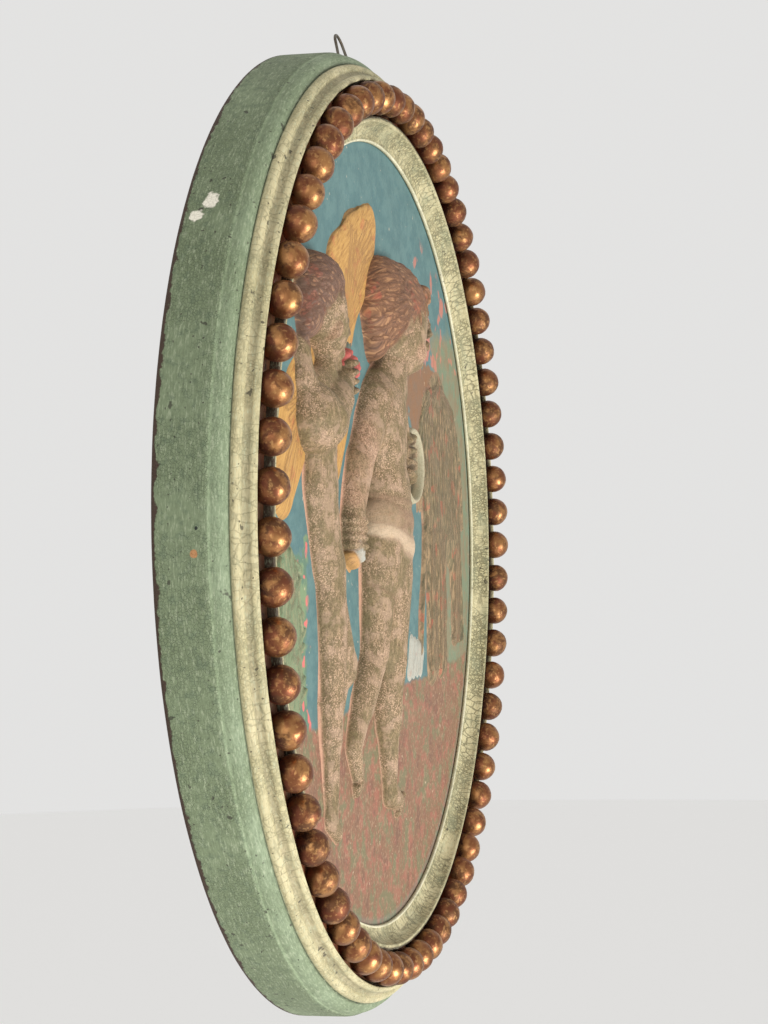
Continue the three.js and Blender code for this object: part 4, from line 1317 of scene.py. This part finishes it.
class PLAQUE_OT_frame(bpy.types.Operator):
    """Sweep the frame's moulded cross-section round the plaque"""

    bl_idname = "plaque.frame"
    bl_label = "Moulded frame"

    def execute(self, context):
        settings = context.scene.plaque_frame
        rows = frame_section(settings)
        row_radius = settings.groove_outer
        points = [((r / 1000 - row_radius), -h / 1000, 0.0) for (r, h), _, _ in rows]
        count = len(points)
        edges = [(i, (i + 1) % count) for i in range(count)]
        piece = new_piece("frame_moulding", points, edges=edges)
        give(piece, "coat", "FLOAT_COLOR", [(*coat, 1.0) for _, coat, _ in rows])
        give(piece, "finish", "FLOAT_VECTOR", [finish for _, _, finish in rows])
        steps = [math.dist(a[0], b[0]) / 1000 for a, b in zip(rows, rows[1:])]
        give(piece, "run", "FLOAT", np.concatenate([[0], np.cumsum(steps)]))
        material = frame_paint()
        swept_ring(settings, material).grow(piece)
        mesh = piece.data
        co = np.array([v.co for v in mesh.vertices])
        run = np.zeros(len(co), np.float32)
        mesh.attributes["run"].data.foreach_get("value", run)
        turn = np.arctan2(co[:, 2], co[:, 0])
        around = np.stack([row_radius * np.cos(turn), row_radius * np.sin(turn), run], 1)
        give(piece, "around", "FLOAT_VECTOR", around)
        settle(piece, "frame")
        return {"FINISHED"}


class PLAQUE_OT_beads(bpy.types.Operator):
    """Set the row of beads in the frame's groove"""

    bl_idname = "plaque.beads"
    bl_label = "Row of beads"

    def execute(self, context):
        settings = context.scene.plaque_beads
        piece = new_piece("bronze_beads", [(0, 0, 0)])
        strung_beads(settings, bead_paint(settings)).grow(piece)
        settle(piece, "bead_row")
        return {"FINISHED"}


class PLAQUE_OT_ground(bpy.types.Operator):
    """Cast the panel's ground with its painted sky and earth"""

    bl_idname = "plaque.ground"
    bl_label = "Relief ground"

    def execute(self, context):
        settings = context.scene.plaque_relief
        steps = 240
        x, z = disc_grid(settings.edge_radius, steps)
        away = np.hypot(x, z) / settings.visible_radius
        swell_height = 0.00025
        swell = swell_height * (np.sin(x * 61 + 1) * np.sin(z * 47 + 2) + np.sin(x * 137 + z * 83))
        swell = swell * np.clip((1 - away) * 8, 0, 1)
        front = np.stack([x, -settings.face_height - swell, z], -1).reshape(-1, 3)
        number = np.arange((steps + 1) ** 2).reshape(steps + 1, steps + 1)
        corners = (number[:-1, :-1], number[1:, :-1], number[1:, 1:], number[:-1, 1:])
        faces = np.stack(corners, -1).reshape(-1, 4)
        rim = np.concatenate([number[:-1, 0], number[-1, :-1], number[:0:-1, -1], number[0, :0:-1]])
        back = front[rim] * (1, 0, 1)
        first = len(front)
        behind = first + np.arange(len(rim))
        ahead = np.roll(rim, -1)
        walls = np.stack([ahead, rim, behind, np.roll(behind, -1)], 1)
        points = np.concatenate([front, back])
        piece = new_piece("relief_ground", points, [*faces.tolist(), *walls.tolist(), behind.tolist()])
        piece.data.materials.append(ground_paint(settings))
        smooth = np.zeros(len(piece.data.polygons), bool)
        smooth[: len(faces)] = True
        piece.data.polygons.foreach_set("use_smooth", smooth)
        settle(piece, "relief_panel")
        return {"FINISHED"}


class PLAQUE_OT_children(bpy.types.Operator):
    """Carve the two children with their hair, sash and tambourine"""

    bl_idname = "plaque.children"
    bl_label = "Two children"

    def execute(self, context):
        settings = context.scene.plaque_relief
        material = relief_paint(
            "painted_figures", tint(214, 176, 146), tint(82, 64, 38), tint(192, 144, 100), tint(66, 42, 30)
        )
        carved_piece("left_child", left_child(), settings, material)
        carved_piece("right_child", right_child(), settings, material)
        return {"FINISHED"}


class PLAQUE_OT_wings(bpy.types.Operator):
    """Carve the wings and the roses behind the left child"""

    bl_idname = "plaque.wings"
    bl_label = "Wings and roses"

    def execute(self, context):
        settings = context.scene.plaque_relief
        material = relief_paint(
            "painted_feathers", tint(232, 190, 120), tint(124, 84, 44), tint(206, 162, 92), tint(128, 84, 44)
        )
        carved_piece("wings", wings(), settings, material)
        carved_piece("roses", roses(), settings, material)
        return {"FINISHED"}


class PLAQUE_OT_setting(bpy.types.Operator):
    """Carve the tree, the bushes, the staff and the white cloth"""

    bl_idname = "plaque.setting"
    bl_label = "Tree and leaves"

    def execute(self, context):
        settings = context.scene.plaque_relief
        material = relief_paint(
            "painted_setting", tint(190, 158, 126), tint(72, 74, 50), tint(172, 142, 104), tint(66, 64, 40)
        )
        carved_piece("tree_and_leaves", setting(), settings, material)
        return {"FINISHED"}


class PLAQUE_OT_loop(bpy.types.Operator):
    """Bend the hanging wire and set its ends in the frame's top"""

    bl_idname = "plaque.loop"
    bl_label = "Hanging loop"

    def execute(self, context):
        settings = context.scene.plaque_loop
        splay, lean = math.radians(19), math.radians(15.5)
        half_turn = math.pi / 2 - splay
        apex = settings.rise - settings.wire_diameter / 2
        drop = settings.bend * (1 - math.cos(half_turn))
        hole_depth, side_taper = 0.009, 0.0006
        leg = (apex - drop + hole_depth) / math.cos(splay)
        side = np.concatenate([np.linspace(0, half_turn, 17), np.full(5, half_turn)])
        run = np.concatenate([np.zeros(17), np.linspace(0, leg, 6)[1:]])
        across = settings.bend * np.sin(side) + run * math.sin(splay)
        rise = apex - settings.bend * (1 - np.cos(side)) - run * math.cos(splay)
        across = np.concatenate([-across[:0:-1], across])
        rise = np.concatenate([rise[:0:-1], rise])
        rim = context.scene.plaque_frame.back_radius - side_taper
        points = np.stack(
            [across, -settings.seat_height + rise * math.sin(lean), rim + rise * math.cos(lean)], 1
        )
        edges = [(i, i + 1) for i in range(len(points) - 1)]
        piece = new_piece("hanging_wire", points, edges=edges)
        bent_wire(settings, wire_metal(settings)).grow(piece)
        settle(piece, "hanging_loop")
        return {"FINISHED"}


class PLAQUE_OT_stage(bpy.types.Operator):
    """Set the floor, the soft lights and the camera"""

    bl_idname = "plaque.stage"
    bl_label = "Floor, lights and camera"

    def execute(self, context):
        settings = context.scene.plaque_stage
        sides, radius = 96, 9
        turns = np.linspace(0, 2 * math.pi, sides + 1)[:-1]
        points = [(radius * math.cos(t), radius * math.sin(t), -settings.floor_depth) for t in turns]
        floor = new_piece("floor", points, [range(sides)])
        floor.data.materials.append(plain_paint("pale_floor", tuple(settings.surround)))

        world = bpy.data.worlds.new("pale_surround")
        world.use_nodes = True
        background = world.node_tree.nodes["Background"]
        background.inputs["Color"].default_value = (*settings.surround, 1.0)
        background.inputs["Strength"].default_value = 0.8
        context.scene.world = world
        context.scene.view_settings.view_transform = "Standard"

        self.lamp(context, "key", (-0.35, -1.5, -0.85), 0.6, settings.key_power)
        self.lamp(context, "fill", (-1.8, -0.35, 0.25), 1.1, settings.key_power * 0.22)

        azimuth, elevation, roll = math.radians(74.85), math.radians(-0.97), math.radians(-1.07)
        ahead = Vector((
            math.sin(azimuth) * math.cos(elevation),
            math.cos(azimuth) * math.cos(elevation),
            -math.sin(elevation),
        ))
        level = ahead.cross(Vector((0, 0, 1))).normalized()
        upright = level.cross(ahead)
        right = level * math.cos(roll) + upright * math.sin(roll)
        up = upright * math.cos(roll) - level * math.sin(roll)
        aim, unit = Vector((0, -0.038, 0)), 0.19
        aside, below, away = 0.057, 0.046, 4.567
        place = aim - unit * (aside * right - below * up + away * ahead)
        camera = bpy.data.objects.new("camera", bpy.data.cameras.new("camera"))
        camera.data.sensor_width = 36
        focal_pixels, picture_height = 1954, 1024
        camera.data.lens = camera.data.sensor_width * focal_pixels / picture_height
        camera.data.clip_start = 0.05
        camera.matrix_world = Matrix.Translation(place) @ Matrix((right, up, -ahead)).transposed().to_4x4()
        context.scene.collection.objects.link(camera)
        context.scene.camera = camera
        return {"FINISHED"}

    def lamp(self, context, name, place, size, power):
        data = bpy.data.lights.new(name, "AREA")
        data.size = size
        data.energy = power
        lamp = bpy.data.objects.new(name, data)
        lamp.location = place
        lamp.rotation_euler = (-Vector(place)).to_track_quat("-Z", "Y").to_euler()
        context.scene.collection.objects.link(lamp)


OPERATORS = (
    PLAQUE_OT_stage,
    PLAQUE_OT_frame,
    PLAQUE_OT_beads,
    PLAQUE_OT_ground,
    PLAQUE_OT_wings,
    PLAQUE_OT_setting,
    PLAQUE_OT_children,
    PLAQUE_OT_loop,
)


class PLAQUE_PT_panel(bpy.types.Panel):
    """The plaque's pieces, in the order they are made"""

    bl_idname = "PLAQUE_PT_panel"
    bl_label = "Cherub wall plaque"
    bl_space_type = "VIEW_3D"
    bl_region_type = "UI"
    bl_category = "Plaque"

    def draw(self, context):
        for kind in OPERATORS:
            self.layout.operator(kind.bl_idname)


SETTINGS = {
    "plaque_frame": PlaqueFrameSettings,
    "plaque_beads": PlaqueBeadSettings,
    "plaque_relief": PlaqueReliefSettings,
    "plaque_loop": PlaqueLoopSettings,
    "plaque_stage": PlaqueStageSettings,
}


def register():
    for name, kind in SETTINGS.items():
        bpy.utils.register_class(kind)
        setattr(bpy.types.Scene, name, PointerProperty(type=kind))
    for kind in (*OPERATORS, PLAQUE_PT_panel):
        bpy.utils.register_class(kind)


def unregister():
    for kind in (PLAQUE_PT_panel, *reversed(OPERATORS)):
        bpy.utils.unregister_class(kind)
    for name, kind in reversed(SETTINGS.items()):
        delattr(bpy.types.Scene, name)
        bpy.utils.unregister_class(kind)


def main():
    register()
    bpy.ops.plaque.stage()
    bpy.ops.plaque.frame()
    bpy.ops.plaque.beads()
    bpy.ops.plaque.ground()
    bpy.ops.plaque.wings()
    bpy.ops.plaque.setting()
    bpy.ops.plaque.children()
    bpy.ops.plaque.loop()


if __name__ == "__main__":
    main()
